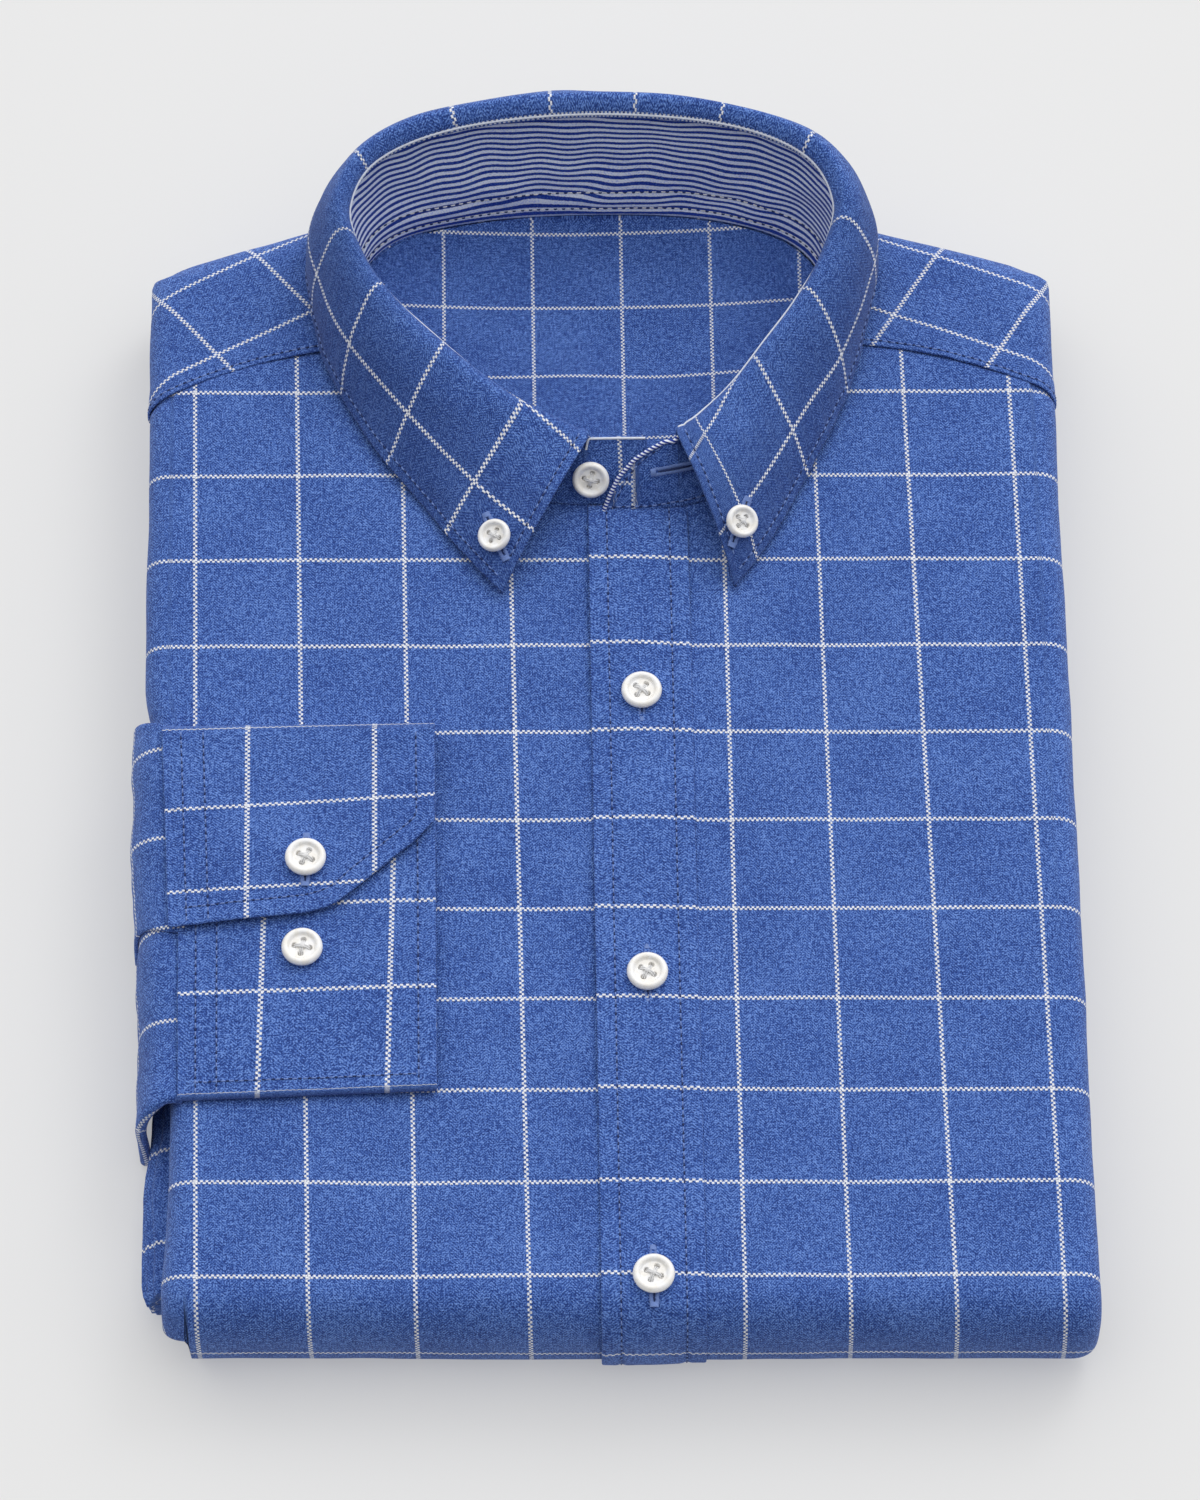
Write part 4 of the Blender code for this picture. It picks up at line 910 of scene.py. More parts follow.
# ---- the collar -----------------------------------------------------------------------------
def collar_frame(stations):
    """Neck seam, crest, direction up the stand and direction into the neck at each station."""
    flat = collar_curve(0, stations, 2)
    base = np.column_stack([flat, np.full(len(flat), PACK_HEIGHT + GAP)])
    crest = collar_curve(2, stations)
    up = crest - base
    height = np.linalg.norm(up, axis=1, keepdims=True)
    up = up / height
    ahead = unit(np.gradient(base, axis=0))
    inward = unit(np.cross(ahead, up))
    return base, crest, up, inward, height[:, 0]


def stand_patch(sizes):
    """The collar's stand: a band round the neck with a straight button end, and a buttonhole end
    with a rounded front edge that lies in front of it."""
    ring = np.linspace(0, LAST_SECTION, 330)
    base, _, up, inward, height = collar_frame(ring)
    rows = np.linspace(0, 1, 26)
    body = base[:, None] + up[:, None] * (rows[None, :, None]
                                          * (height - STAND_BELOW_CREST)[:, None, None])
    share = np.linspace(1, 0, STAND_END_COUNT)[:-1]
    tall = rows[None, :, None] * (height[0] - TAB_BELOW_CREST)
    button_x = base[0, 0] + (BUTTON_END_X - base[0, 0]) * share
    button_base = np.column_stack([button_x, np.full((len(share), 2), base[0, 1:])])
    button_end = button_base[:, None] + up[0] * tall
    tall = rows[None, :, None] * (height[-1] - TAB_BELOW_CREST)
    table = np.array(BUTTONHOLE_END)
    end_x = np.interp(rows, table[:, 0], table[:, 1]) * MM
    step = share[::-1, None]
    hole_base = np.tile(base[-1], (len(share), 1))
    onward = smooth_step(step[:, 0], 0.0, 0.45)
    hole_base[:, 1] += (np.minimum(base[-1, 1], BUTTONHOLE_END_Y) - base[-1, 1]) * onward
    hole_end = hole_base[:, None] + up[-1] * tall
    hole_end[..., 0] = base[-1, 0] + (end_x[None, :] - base[-1, 0]) * step
    hole_end = hole_end - inward[-1] * 0.5 * MM * np.sin(np.pi * rows)[None, :, None]
    points = np.concatenate([button_end, body, hole_end])
    along = run_length(points[:, 0])
    joint = len(points) - len(hole_end)
    at_joint = STAND_LINE_X - points[joint, :, 0]
    across = at_joint[None, :] + (along - along[joint])[:, None]
    across[joint:] = STAND_LINE_X - points[joint:, :, 0]
    across += 8 * MM * (1 - smooth_step(along, 0.3 * along[-1], 0.5 * along[-1]))[:, None]
    up_share = (rows - STAND_LINE_HEIGHT) * height[-1] / sizes.check_length
    beside = smooth_step(np.abs(points[..., 0] - STAND_ROW_X), 2.8 * MM, 4.0 * MM)
    beside[:joint] = 1.0
    count_up = up_share[None, :] + 0.5 * beside
    cloth = np.stack([across / sizes.check_width, count_up], axis=-1)
    wave = wave_field(along[:, None], rows[None, :] * 20 * MM, 51, (50 * MM, 18 * MM),
                      (0.30 * MM, 0.12 * MM)) * sizes.crease
    between = (smooth_step(along, along[joint] * 0.16, along[joint] * 0.24)
               * (1 - smooth_step(along, along[joint] * 0.80, along[joint] * 0.90)))
    outward = wave + 0.8 * MM * between[:, None]
    patch = Patch(points[::-1], cloth[::-1])
    return patch.pushed(outward[::-1])


def facing_patch(sizes):
    """The striped facing inside the collar, from the neck seam to under the leaf's roll; its cloth
    coordinates are the length along it and the height, both in stripes."""
    ring = np.linspace(0.2, LAST_SECTION - 0.2, 320)
    base, _, up, inward, height = collar_frame(ring)
    rows = np.linspace(0, 1, 46)
    reach = rows[None, :] * (height - 3.4 * MM)[:, None]
    inset = STAND_WALL + GAP + FACING_WALL - ROLL_TIGHTER
    points = base[:, None] + up[:, None] * reach[..., None] + inward[:, None] * inset
    along = run_length(base)[:, None] + 0 * reach
    sway = wave_field(along * 0.8, reach * 0.8, 61, (60 * MM, 24 * MM, 11 * MM),
                      (1.3 * MM, 0.75 * MM, 0.28 * MM))
    stripes = (reach + sway * np.minimum(1, reach / (8 * MM))) / sizes.stripe
    cloth = np.stack([along / sizes.stripe, stripes], axis=-1)
    wave = wave_field(along * 0.5, reach, 67, (60 * MM, 22 * MM, 10 * MM),
                      (0.9 * MM, 0.35 * MM, 0.10 * MM)) * sizes.crease
    folds = crease_field(along, reach, FACING_CREASES) * sizes.crease
    rows_at = np.minimum(np.abs(reach - FACING_STITCH_HEIGHTS[0]),
                         np.abs(reach - FACING_STITCH_HEIGHTS[1]))
    trough = 0.25 * MM * np.exp(-(rows_at / (0.8 * MM)) ** 2)
    fade = np.minimum(1, reach / (6 * MM))
    return Patch(points, cloth).pushed(np.maximum((wave + folds) * fade, -0.4 * MM) - trough)


def leaf_profile(stations, falls):
    """Leaf's outer side at each station: a smooth curve from its roll inside the collar, over the
    crest and down to the outer edge, through seven places across it."""
    _, crest, up, inward, _ = collar_frame(stations)
    edge = collar_curve(5, stations)
    room = STAND_WALL + FACING_WALL + 3 * GAP - ROLL_TIGHTER
    tongue = crest - up * LEAF_TONGUE + inward * (room + LEAF_WALL)
    shoulder = crest - up * 1.2 * MM + inward * (room + LEAF_WALL)
    top = crest + up * 1.7 * MM + inward * 1.4 * MM
    outside = crest + up * 0.2 * MM - inward * (LEAF_WALL + GAP)
    fall = edge - outside
    along = np.gradient(edge, axis=0)
    proud = unit(np.cross(along, fall))
    knots = np.array([0.22, 0.45, 0.72, 1.0])
    down = (outside[:, None] + fall[:, None] * knots[None, :, None]
            + proud[:, None] * (LEAF_BULGE * 4 * knots * (1 - knots))[None, :, None])
    control = np.concatenate([np.stack([tongue, shoulder, top, outside], axis=1), down], axis=1)
    curve = smooth_through(np.swapaxes(control, 0, 1), falls)
    return np.swapaxes(curve, 0, 1)


def leaf_check(stations, lengths, crest_column):
    """Check counts on the leaf: across it from the long line's inset, along it from the places of
    the cross lines, slanted between the roll and the edge. Over the roll the count is drawn to a
    whole number at the inner border, where a line runs along it round the back."""
    total = lengths[:, -1:]
    from_edge = total - lengths
    inset = np.interp(stations, [row[0] for row in LEAF_LONG_LINE], column(LEAF_LONG_LINE, 1))
    repeat = 27.0 * MM - 3.5 * MM * smooth_step(stations, 14.5, 16.8)
    across = (from_edge - inset[:, None]) / repeat[:, None]
    at_crest = across[:, crest_column][:, None]
    crest_length = lengths[:, crest_column][:, None]
    to_border = np.clip((crest_length - lengths) / crest_length, 0, 1)
    bordered = at_crest + (1.02 - at_crest) * to_border
    back = (smooth_step(stations, 4.6, 5.6) * (1 - smooth_step(stations, 12.2, 13.2)))[:, None]
    across = np.where(lengths < crest_length, across + (bordered - across) * back, across)
    lines = np.arange(len(LEAF_CROSS_LINES), dtype=float)
    share = np.clip((lengths - crest_length) / (total - crest_length), 0, 1)
    roll = np.interp(stations, [row[0] for row in LEAF_CROSS_LINES], lines)[:, None]
    outer = np.interp(stations, [row[1] for row in LEAF_CROSS_LINES], lines)[:, None]
    return np.stack([roll + (outer - roll) * share, across], axis=-1)


def leaf_patch(sizes):
    """The collar's leaf on its smooth profile, with soft waves, a bulky turned edge and a trough
    under the edge stitching."""
    stations = np.linspace(0, LAST_SECTION, 364)
    falls = np.concatenate([np.linspace(0, 3.4, LEAF_ROLL_COUNT), np.linspace(3.4, 7.0, 30)[1:]])
    points = leaf_profile(stations, falls)
    run = np.linalg.norm(np.diff(points, axis=1), axis=-1)
    lengths = np.concatenate([np.zeros((len(stations), 1)), np.cumsum(run, axis=1)], axis=1)
    crest_column = int(np.argmin(np.abs(falls - 2.3)))
    cloth = leaf_check(stations, lengths, crest_column)
    ends = np.minimum(np.linalg.norm(points - points[:1], axis=-1),
                      np.linalg.norm(points - points[-1:], axis=-1))
    from_rim = np.minimum(lengths[:, -1:] - lengths, ends)
    trough = 0.28 * MM * np.exp(-((from_rim - LEAF_STITCH_INSET) / (0.7 * MM)) ** 2)
    edge_run = run_length(points[:, -1])[:, None]
    wave = wave_field(edge_run * 0.7, lengths, 71, (64 * MM, 28 * MM, 12 * MM),
                      (0.7 * MM, 0.32 * MM, 0.10 * MM))
    pucker = wave_field(edge_run, lengths * 0.4, 73, (10 * MM, 6 * MM), (0.14 * MM, 0.08 * MM))
    pucker = pucker * np.exp(-(from_rim / (5 * MM)) ** 2)
    fade = smooth_step(lengths, 2 * MM, 14 * MM)
    push = (wave * fade + pucker) * sizes.crease - trough
    return Patch(points, cloth).pushed(push)


# ---- the cuff and the sleeve ----------------------------------------------------------------
def flap_edge_y(x):
    """The flap's free edge, its cut corner rounded by a moving mean."""
    spread = np.array([-2.4, -1.2, 0.0, 1.2, 2.4]) * MM
    edge_x, edge_y = column(CUFF_FLAP_EDGE, 0), column(CUFF_FLAP_EDGE, 1)
    return np.mean([np.interp(x + step, edge_x, edge_y) for step in spread], axis=0)


def cuff_patch(sizes):
    """The flattened cuff as one strip: under layer, bottom fold, hidden layer, top fold and the
    shaped flap. Rows run along the strip, columns from the sleeve's seam to the wrist."""
    x = np.linspace(CUFF_LEFT_X, CUFF_RIGHT_X, 84)
    flap_end = flap_edge_y(x)
    low = CUFF_BOTTOM_Y + CUFF_BOTTOM_SLANT * (x - CUFF_LEFT_X)
    floor = PACK_HEIGHT + GAP
    under = PACK_HEIGHT + CUFF_UNDER_HEIGHT
    flap = PACK_HEIGHT + CUFF_FLAP_HEIGHT
    small, large = (under - floor) / 2, (flap - floor) / 2
    flat = np.zeros_like(x)
    arc = np.linspace(0, np.pi, 14)[1:-1, None]
    under_share = np.linspace(0, 1, CUFF_UNDER_COUNT)[:, None]
    under_y = CUFF_UNDER_END_Y + (low + small - CUFF_UNDER_END_Y) * under_share
    top_y = CUFF_TOP_Y - large
    hidden_share = np.linspace(0, 1, 30)[:, None]
    flap_share = np.linspace(0, 1, CUFF_FLAP_COUNT)[:, None]
    y = np.concatenate([under_y, low + small - small * np.sin(arc),
                        (low + small) + (top_y - low - small) * hidden_share,
                        top_y + large * np.sin(arc) + flat,
                        top_y + (flap_end - top_y) * flap_share])
    z = np.concatenate([under + 0 * under_y, floor + small + small * np.cos(arc) + flat,
                        floor + 0 * hidden_share + flat, floor + large - large * np.cos(arc) + flat,
                        flap + 0 * flap_share + flat])
    under_rows = len(under_y)
    flap_row = len(y) - len(flap_share)
    middle_y = y[:, 0]
    shift = np.interp(middle_y, (low[0], CUFF_UNDER_END_Y), CUFF_UNDER_SEAM_SHIFT)
    shift[flap_row:] = np.interp(middle_y[flap_row:], (flap_end[0], top_y), CUFF_FLAP_SEAM_SHIFT)
    shift[under_rows:flap_row] = np.linspace(shift[under_rows - 1], shift[flap_row],
                                             flap_row - under_rows)
    to_seam = (CUFF_RIGHT_X - x) / (CUFF_RIGHT_X - CUFF_LEFT_X)
    points = np.stack([x + shift[:, None] * to_seam, y, z], axis=-1)
    lengths = run_length(points[:, len(x) // 2 - 2])[:, None]
    across = np.interp(lengths, [0, lengths[flap_row, 0]], CUFF_LINE_X)
    down_under = np.interp(0.02 * (x + 85 * MM) - y, CUFF_UNDER_ROWS, (-1.0, 0.0, 1.0, 2.0))
    down_flap = 6 + (CUFF_FLAP_ROW_Y - y + 0.05 * (x + 85 * MM)) / CUFF_FLAP_ROW_REPEAT
    index = np.arange(len(y))[:, None]
    down = np.where(index < under_rows, down_under, down_flap)
    middle = (index - under_rows + 1) / (flap_row - under_rows + 1)
    bridge = down_under[under_rows - 1] + (down_flap[flap_row] - down_under[under_rows - 1]) * middle
    down = np.where((index >= under_rows) & (index < flap_row), bridge, down)
    cloth = np.stack([(points[..., 0] - across) / CUFF_COLUMN_REPEAT, down], axis=-1)

    from_seam = x[None, :] - CUFF_LEFT_X
    from_wrist = CUFF_RIGHT_X - x[None, :]
    slope = np.gradient(flap_end, x)
    from_flap_edge = (y - flap_end) / np.sqrt(1 + slope ** 2)
    on_flap = index >= flap_row
    from_rim = np.where(on_flap, np.minimum(from_flap_edge, from_wrist), from_wrist)
    stitched = np.minimum(np.minimum(np.abs(from_seam - SLEEVE_SEAM_STITCHES[0]),
                                     np.abs(from_seam - SLEEVE_SEAM_STITCHES[1])),
                          np.abs(from_rim - CUFF_STITCH_INSET))
    trough = 0.34 * MM * np.exp(-(stitched / (0.8 * MM)) ** 2)
    wave = wave_field(x + 0 * y, lengths + 0 * y, 81, (46 * MM, 20 * MM, 9 * MM),
                      (0.30 * MM, 0.16 * MM, 0.06 * MM))
    pucker = wave_field(x + 0 * y, y, 83, (9 * MM, 5.5 * MM), (0.12 * MM, 0.08 * MM))
    pucker = pucker * np.exp(-(stitched / (2.6 * MM)) ** 2)
    lifted = np.where(on_flap, 0.5 * MM * smooth_step(from_flap_edge, 12 * MM, 0), 0)
    hidden = (index > under_rows) & (index < flap_row)
    seam_drop = 0.2 * MM * (1 - smooth_step(from_seam, 0, 1.4 * MM))
    push = np.where(hidden, 0, (wave + pucker) * sizes.crease * 0.7 - trough + lifted - seam_drop)
    return Patch(points, cloth).pushed(push)


def sleeve_patch(sizes, top_height, proud, top_y, low_y, foot, seed, start_x, rows=92):
    """A strip of the sleeve beside the cuff: from the cuff's seam over the pack's edge and down
    its side, with soft folds running away from the seam."""
    turns = fold_turns(1, 22)
    out = np.concatenate([[0, 0, 0], fold_out(turns), np.ones(10)])
    flat_part = np.concatenate([[0.0, 0.33, 0.66], np.ones(len(turns) + 10)])
    down = np.concatenate([[0, 0, 0], fold_down(turns) * 0.5, np.linspace(0.5, 1, 11)[1:]])
    share = np.linspace(0, 1, rows)
    top = top_y[0] + (top_y[1] - top_y[0]) * out
    low = low_y[0] + (low_y[1] - low_y[0]) * out
    y = top[:, None] + (low - top)[:, None] * share[None, :]
    first_x = CUFF_LEFT_X - GAP
    reach = left_edge(y, 3) + proud + first_x
    x = start_x + (first_x - start_x) * flat_part[:, None] - reach * out[:, None]
    z = np.broadcast_to((top_height - (top_height - foot) * down)[:, None], y.shape)
    points = np.stack([x, y, z], axis=-1)
    lengths = run_length(points[:, rows // 2])[:, None] + 0 * y
    cloth = np.stack([0.34 + lengths / sizes.check_width,
                      (-66.0 * MM - y - 0.05 * lengths) / (28.0 * MM)], axis=-1)
    wave = wave_field(lengths * 0.35, y, seed, (34 * MM, 15 * MM, 8 * MM),
                      (0.55 * MM, 0.30 * MM, 0.10 * MM)) * sizes.crease
    wave = wave * smooth_step(lengths, 0, 6 * MM)
    patch = Patch(points[::-1][:, ::-1], cloth[::-1][:, ::-1])
    return patch.pushed(wave[::-1][:, ::-1])


# ---- the hidden layers ----------------------------------------------------------------------
def pack_ring(count):
    """Plan outline of the pack, counter-clockwise and evenly spaced, with its outward normals."""
    left_x, right_x = -PACK_HALF_WIDTH, PACK_HALF_WIDTH
    top_x = np.linspace(118 * MM, -118 * MM, 80)
    low_x = np.linspace(-118 * MM, 118 * MM, 40)
    right_y = np.linspace(-170 * MM, 138 * MM, 60)
    corners = np.concatenate([
        np.column_stack([np.full(60, right_x), right_y]),
        np.column_stack([top_x, shoulder_y(top_x)]),
        np.column_stack([np.full(60, left_x), right_y[::-1]]),
        np.column_stack([low_x, bottom_y(low_x)]),
    ])
    closed = np.concatenate([corners, corners[:1]])
    run = run_length(closed)
    even = np.linspace(0, run[-1], count, endpoint=False)
    ring = np.column_stack([np.interp(even, run, closed[:, k]) for k in range(2)])
    for _ in range(3):
        ring = (np.roll(ring, 1, axis=0) + 2 * ring + np.roll(ring, -1, axis=0)) / 4
    ahead = unit(np.roll(ring, -1, axis=0) - np.roll(ring, 1, axis=0))
    return ring, np.column_stack([ahead[:, 1], -ahead[:, 0]]), even


def layer_inset(z, half_depth, middle, reach):
    """How far a fold of this reach and half depth stands back from its tip at height z."""
    rise = np.clip(np.abs(z - middle) / half_depth, 0, 1)
    return reach * (1 - (1 - rise ** FOLD_SQUARENESS) ** (1 / FOLD_SQUARENESS))


def hidden_rings():
    """Rings of the folded back and tail, from the middle of the underside out, up the layered
    sides and in again under the fronts. Each layer's edge bulges between two grooves, and the
    grooves wander round the pack."""
    ring, normal, along = pack_ring(364)
    ends = np.clip((np.abs(normal[:, 1]) - 0.35) / 0.4, 0, 1)
    corner_y = 149 * MM
    to_corner = np.hypot(np.abs(ring[:, 0]) - PACK_HALF_WIDTH, ring[:, 1] - corner_y)
    corner = CORNER_INSET * np.exp(-(to_corner / (20 * MM)) ** 2)
    to_corner = np.hypot(ring[:, 0] + PACK_HALF_WIDTH, ring[:, 1] - BOTTOM_EDGE_Y)
    corner = corner + CORNER_INSET * np.exp(-(to_corner / (12 * MM)) ** 2)
    near_end = np.minimum(1.0, 6 * ends)
    left_share = smooth_step(-ring[:, 0], 100 * MM, 120 * MM)
    clear = CLOTH + 1.7 * MM
    z = np.concatenate([[0.0], np.linspace(0.25, LAYERS_TOP / MM, 66) * MM])
    levels = np.sort(np.array(LAYER_LEVELS)) * MM
    wander = wave_field(along, 0 * along, 91, (260 * MM, 120 * MM, 47 * MM),
                        (0.7 * MM, 0.5 * MM, 0.25 * MM))
    height = z[:, None] + wander[None, :] * smooth_step(z, 2 * MM, 5 * MM)[:, None]
    apart = np.abs(height[..., None] - levels)
    depth = np.array(LAYER_GROOVES)[np.argmin(apart, axis=-1)] * MM
    groove = depth * np.exp(-(np.min(apart, axis=-1) / (0.75 * MM)) ** 2)
    upper = z[:, None] > LAYERS_SPLIT
    middle = PACK_HEIGHT / 2
    side_low = (0.5 * MM + (clear - 0.5 * MM) * near_end[None, :]
                + layer_inset(z, 8.4 * MM, 8.2 * MM, SIDE_REACH)[:, None])
    side_high = clear + layer_inset(z, 7.1 * MM, 23.9 * MM, SIDE_REACH)[:, None] + 0 * near_end
    side = np.where(upper, side_high, side_low)
    recess = np.where(upper, PACK_HALF_WIDTH - left_edge(ring[:, 1], 1)[None, :],
                      PACK_HALF_WIDTH - 0.5 * MM - left_edge(ring[:, 1], 2)[None, :])
    end = clear + layer_inset(np.maximum(z, 2.2 * MM), middle - 2 * MM, middle, END_REACH)[:, None]
    loose = wave_field(along[None, :] + 3 * height, 9 * height, 93, (90 * MM, 36 * MM),
                       (0.5 * MM, 0.3 * MM))
    inset = side * (1 - ends) + end * ends + corner + groove * (1 - 0.55 * ends) + loose
    inset = np.maximum(inset, 0.3 * MM)
    plan = ring[None] - normal[None] * inset[..., None]
    plan[..., 0] += recess * left_share
    rings = np.concatenate([plan, np.broadcast_to(z[:, None, None], plan.shape[:2] + (1,))], axis=-1)
    shrink = np.array(UNDERSIDE_RINGS)[:, None, None]
    under = rings[0][None] * shrink
    inner = rings[-1] - np.column_stack([normal, 0 * along]) * 6 * MM
    inner[:, 2] = 24.0 * MM
    return np.concatenate([under, rings, inner[None]])


def hidden_layers_mesh(name, sizes):
    """Closed bowl of the hidden layers: rings joined by triangles and a fan over the middle. Its
    cloth lies along the length on the underside and runs round the sides."""
    rings = hidden_rings()
    rows, cols = rings.shape[:2]
    index = np.arange(rows * cols).reshape(rows, cols)
    middle = rows * cols
    fan = np.stack([np.roll(index[0], -1), index[0], np.full(cols, middle)], axis=-1)
    points = np.concatenate([rings.reshape(-1, 3), [[0.0, 0.0, 0.0]]])
    run = np.concatenate([[np.zeros(cols)],
                          np.cumsum(np.linalg.norm(np.diff(rings, axis=0), axis=-1), axis=0)])
    under_rows = len(UNDERSIDE_RINGS) + 1
    out = rings[under_rows - 1][None, :, :2]
    past = (run - run[under_rows - 1])[..., None]
    way = rings[under_rows - 1, :, :2]
    beside = np.abs(way[:, 0]) > 122 * MM
    facing = np.stack([np.sign(way[:, 0]) * beside, np.sign(way[:, 1]) * ~beside], axis=-1)
    far = np.where(past > 0, out + facing[None] * past, rings[..., :2])
    cloth = np.stack([0.5 + far[..., 0] / sizes.check_width,
                      (CHECK_ROW_START_Y - 0.3 * sizes.check_length - far[..., 1])
                      / sizes.check_length], axis=-1).reshape(-1, 2)
    cloth = np.concatenate([cloth, [[0.5, CHECK_ROW_START_Y / sizes.check_length - 0.3]]])
    return mesh_of(name, points, np.concatenate([ring_triangles(index), fan]), cloth)


# ---- buttons and threads --------------------------------------------------------------------
def lathe_faces(rings, sides):
    """Triangles of a turned surface: rings of `sides` points between a first and a last pole."""
    index = 1 + np.arange(rings * sides).reshape(rings, sides)
    last = rings * sides + 1
    return np.concatenate([
        np.stack([np.zeros(sides, int), np.roll(index[0], -1), index[0]], axis=-1),
        ring_triangles(index),
        np.stack([index[-1], np.roll(index[-1], -1), np.full(sides, last)], axis=-1),
    ])


def button_points(radius):
    """A turned disc: its underside, rounded rim, broad raised border and sunk well; four pits are
    pressed into the well. Height and reach are shares of the thickness and radius."""
    profile = np.array([
        (0.30, 0.0), (0.62, 0.0), (0.80, 0.05), (0.92, 0.20), (0.985, 0.38), (1.0, 0.54),
        (0.985, 0.70), (0.95, 0.83), (0.90, 0.93), (0.86, 0.985), (0.81, 1.0), (0.755, 0.985),
        (0.705, 0.93), (0.665, 0.83), (0.63, 0.73), (0.60, 0.67), (0.57, 0.645)])
    well = np.linspace(0.545, 0.02, 34)
    reach = np.concatenate([profile[:, 0], well])
    height = np.concatenate([profile[:, 1], np.full(len(well), BUTTON_WELL)])
    sides = 60
    turn = np.arange(sides) * 2 * np.pi / sides
    x = reach[:, None] * np.cos(turn)
    y = reach[:, None] * np.sin(turn)
    h = np.broadcast_to(height[:, None], x.shape).copy()
    on_top = np.arange(len(reach)) >= 14
    for sx, sy in ((1, 1), (-1, 1), (-1, -1), (1, -1)):
        away = np.hypot(x - sx * BUTTON_HOLE_OFFSET, y - sy * BUTTON_HOLE_OFFSET)
        pit = 0.5 * (1 - smooth_step(away, BUTTON_HOLE_RADIUS - 0.02, BUTTON_HOLE_RADIUS + 0.02))
        h = np.where(on_top[:, None], h - pit, h)
    body = np.stack([x * radius, y * radius, h * BUTTON_THICKNESS], axis=-1).reshape(-1, 3)
    poles = np.array([[0, 0, 0], [0, 0, BUTTON_WELL * BUTTON_THICKNESS]])
    return np.concatenate([poles[:1], body, poles[1:]]), lathe_faces(len(reach), sides)


def standing_on(points, seat, normal, spin):
    """Points turned so that their Z lies along the normal, spun about it, and moved to the seat."""
    normal = np.asarray(normal, float)
    across = np.cross([0.0, 1.0, 0.0], normal)
    across /= np.linalg.norm(across)
    along = np.cross(normal, across)
    c, s = np.cos(spin), np.sin(spin)
    first, second = across * c + along * s, along * c - across * s
    return seat + points[:, :1] * first + points[:, 1:2] * second + points[:, 2:] * normal


def tube_points(path, radius, sides=8):
    """Rings of a tube round a path, between a pole at each end."""
    ahead = unit(np.gradient(path, axis=0))
    side = unit(np.cross(ahead, [0.31, 0.17, 0.93]))
    up = np.cross(side, ahead)
    turn = np.arange(sides) * 2 * np.pi / sides
    rings = (path[:, None] + radius * (side[:, None] * np.cos(turn)[None, :, None]
                                       - up[:, None] * np.sin(turn)[None, :, None]))
    points = np.concatenate([path[:1], rings.reshape(-1, 3), path[-1:]])
    return points, lathe_faces(len(path), sides)


def button_thread(radius):
    """Threads crossing over the well from hole to hole: two strands each way, drawn together into
    a knot over the middle."""
    offset = BUTTON_HOLE_OFFSET * radius
    strand = 0.045 * radius
    share = np.linspace(-1, 1, 15)
    rise = BUTTON_THICKNESS * (BUTTON_WELL + 0.12 - 0.46 * np.abs(share) ** 3)
    parts = []
    for number, (dx, dy) in enumerate(((1, 1), (1, -1))):
        for place in (-1, 1):
            shift = place * strand * 0.8 * (1 + 0.5 * np.abs(share))
            path = np.column_stack([share * offset * dx - shift * dy * 0.7,
                                    share * offset * dy + shift * dx * 0.7,
                                    rise + number * strand * 1.2])
            parts.append(tube_points(path, strand))
    low, high = rise.max() - strand, rise.max() + strand * 2.6
    turn = np.linspace(0, 2 * np.pi, 12, endpoint=False)
    level = np.linspace(0, np.pi, 7)[1:-1]
    knot = np.stack([np.sin(level)[:, None] * np.cos(turn) * strand * 3.0,
                     np.sin(level)[:, None] * np.sin(turn) * strand * 3.0,
                     low + (high - low) * (1 - np.cos(level))[:, None] / 2 + 0 * turn], axis=-1)
    poles = np.array([[0, 0, low], [0, 0, high]])
    parts.append((np.concatenate([poles[:1], knot.reshape(-1, 3), poles[1:]]),
                  lathe_faces(len(level), len(turn))))
    return joined(parts)


def stitch_template():
    """One stitch, a thread bowed over the cloth with both ends sunk in it, as unit steps along it,
    across it and up from the cloth, and its triangles."""
    along = np.array([-0.97, -0.72, 0.0, 0.72, 0.97])
    thick = np.array([0.45, 0.9, 1.0, 0.9, 0.45])
    sink = np.array([-0.9, 0.1, 0.45, 0.1, -0.9])
    sides = 5
    turn = np.arange(sides) * 2 * np.pi / sides
    x = np.broadcast_to(along[:, None], (len(along), sides))
    y = thick[:, None] * np.cos(turn)
    z = sink[:, None] + thick[:, None] * np.sin(turn)
    rings = np.stack([x, y, z], axis=-1).reshape(-1, 3)
    poles = np.array([[-1.0, 0.0, -1.1], [1.0, 0.0, -1.1]])
    return np.concatenate([poles[:1], rings, poles[1:]]), lathe_faces(len(along), sides)[:, ::-1]


def threads_mesh(name, rows):
    """All threads of the rows in one mesh. A row holds arrays of centres, directions along the
    threads and normals, and the threads' half length and half thickness."""
    template, faces = stitch_template()
    parts = []
    for centres, along, normals, half_length, half_thick in rows:
        side = unit(np.cross(normals, along))
        half_length = np.broadcast_to(half_length, (len(centres),))[:, None, None]
        placed = (centres[:, None] + along[:, None] * template[None, :, :1] * half_length
                  + side[:, None] * template[None, :, 1:2] * half_thick
                  + normals[:, None] * template[None, :, 2:] * half_thick)
        starts = np.arange(len(centres)) * len(template)
        parts.append((placed.reshape(-1, 3),
                      (faces[None] + starts[:, None, None]).reshape(-1, 3)))
    return mesh_of(name, *joined(parts))


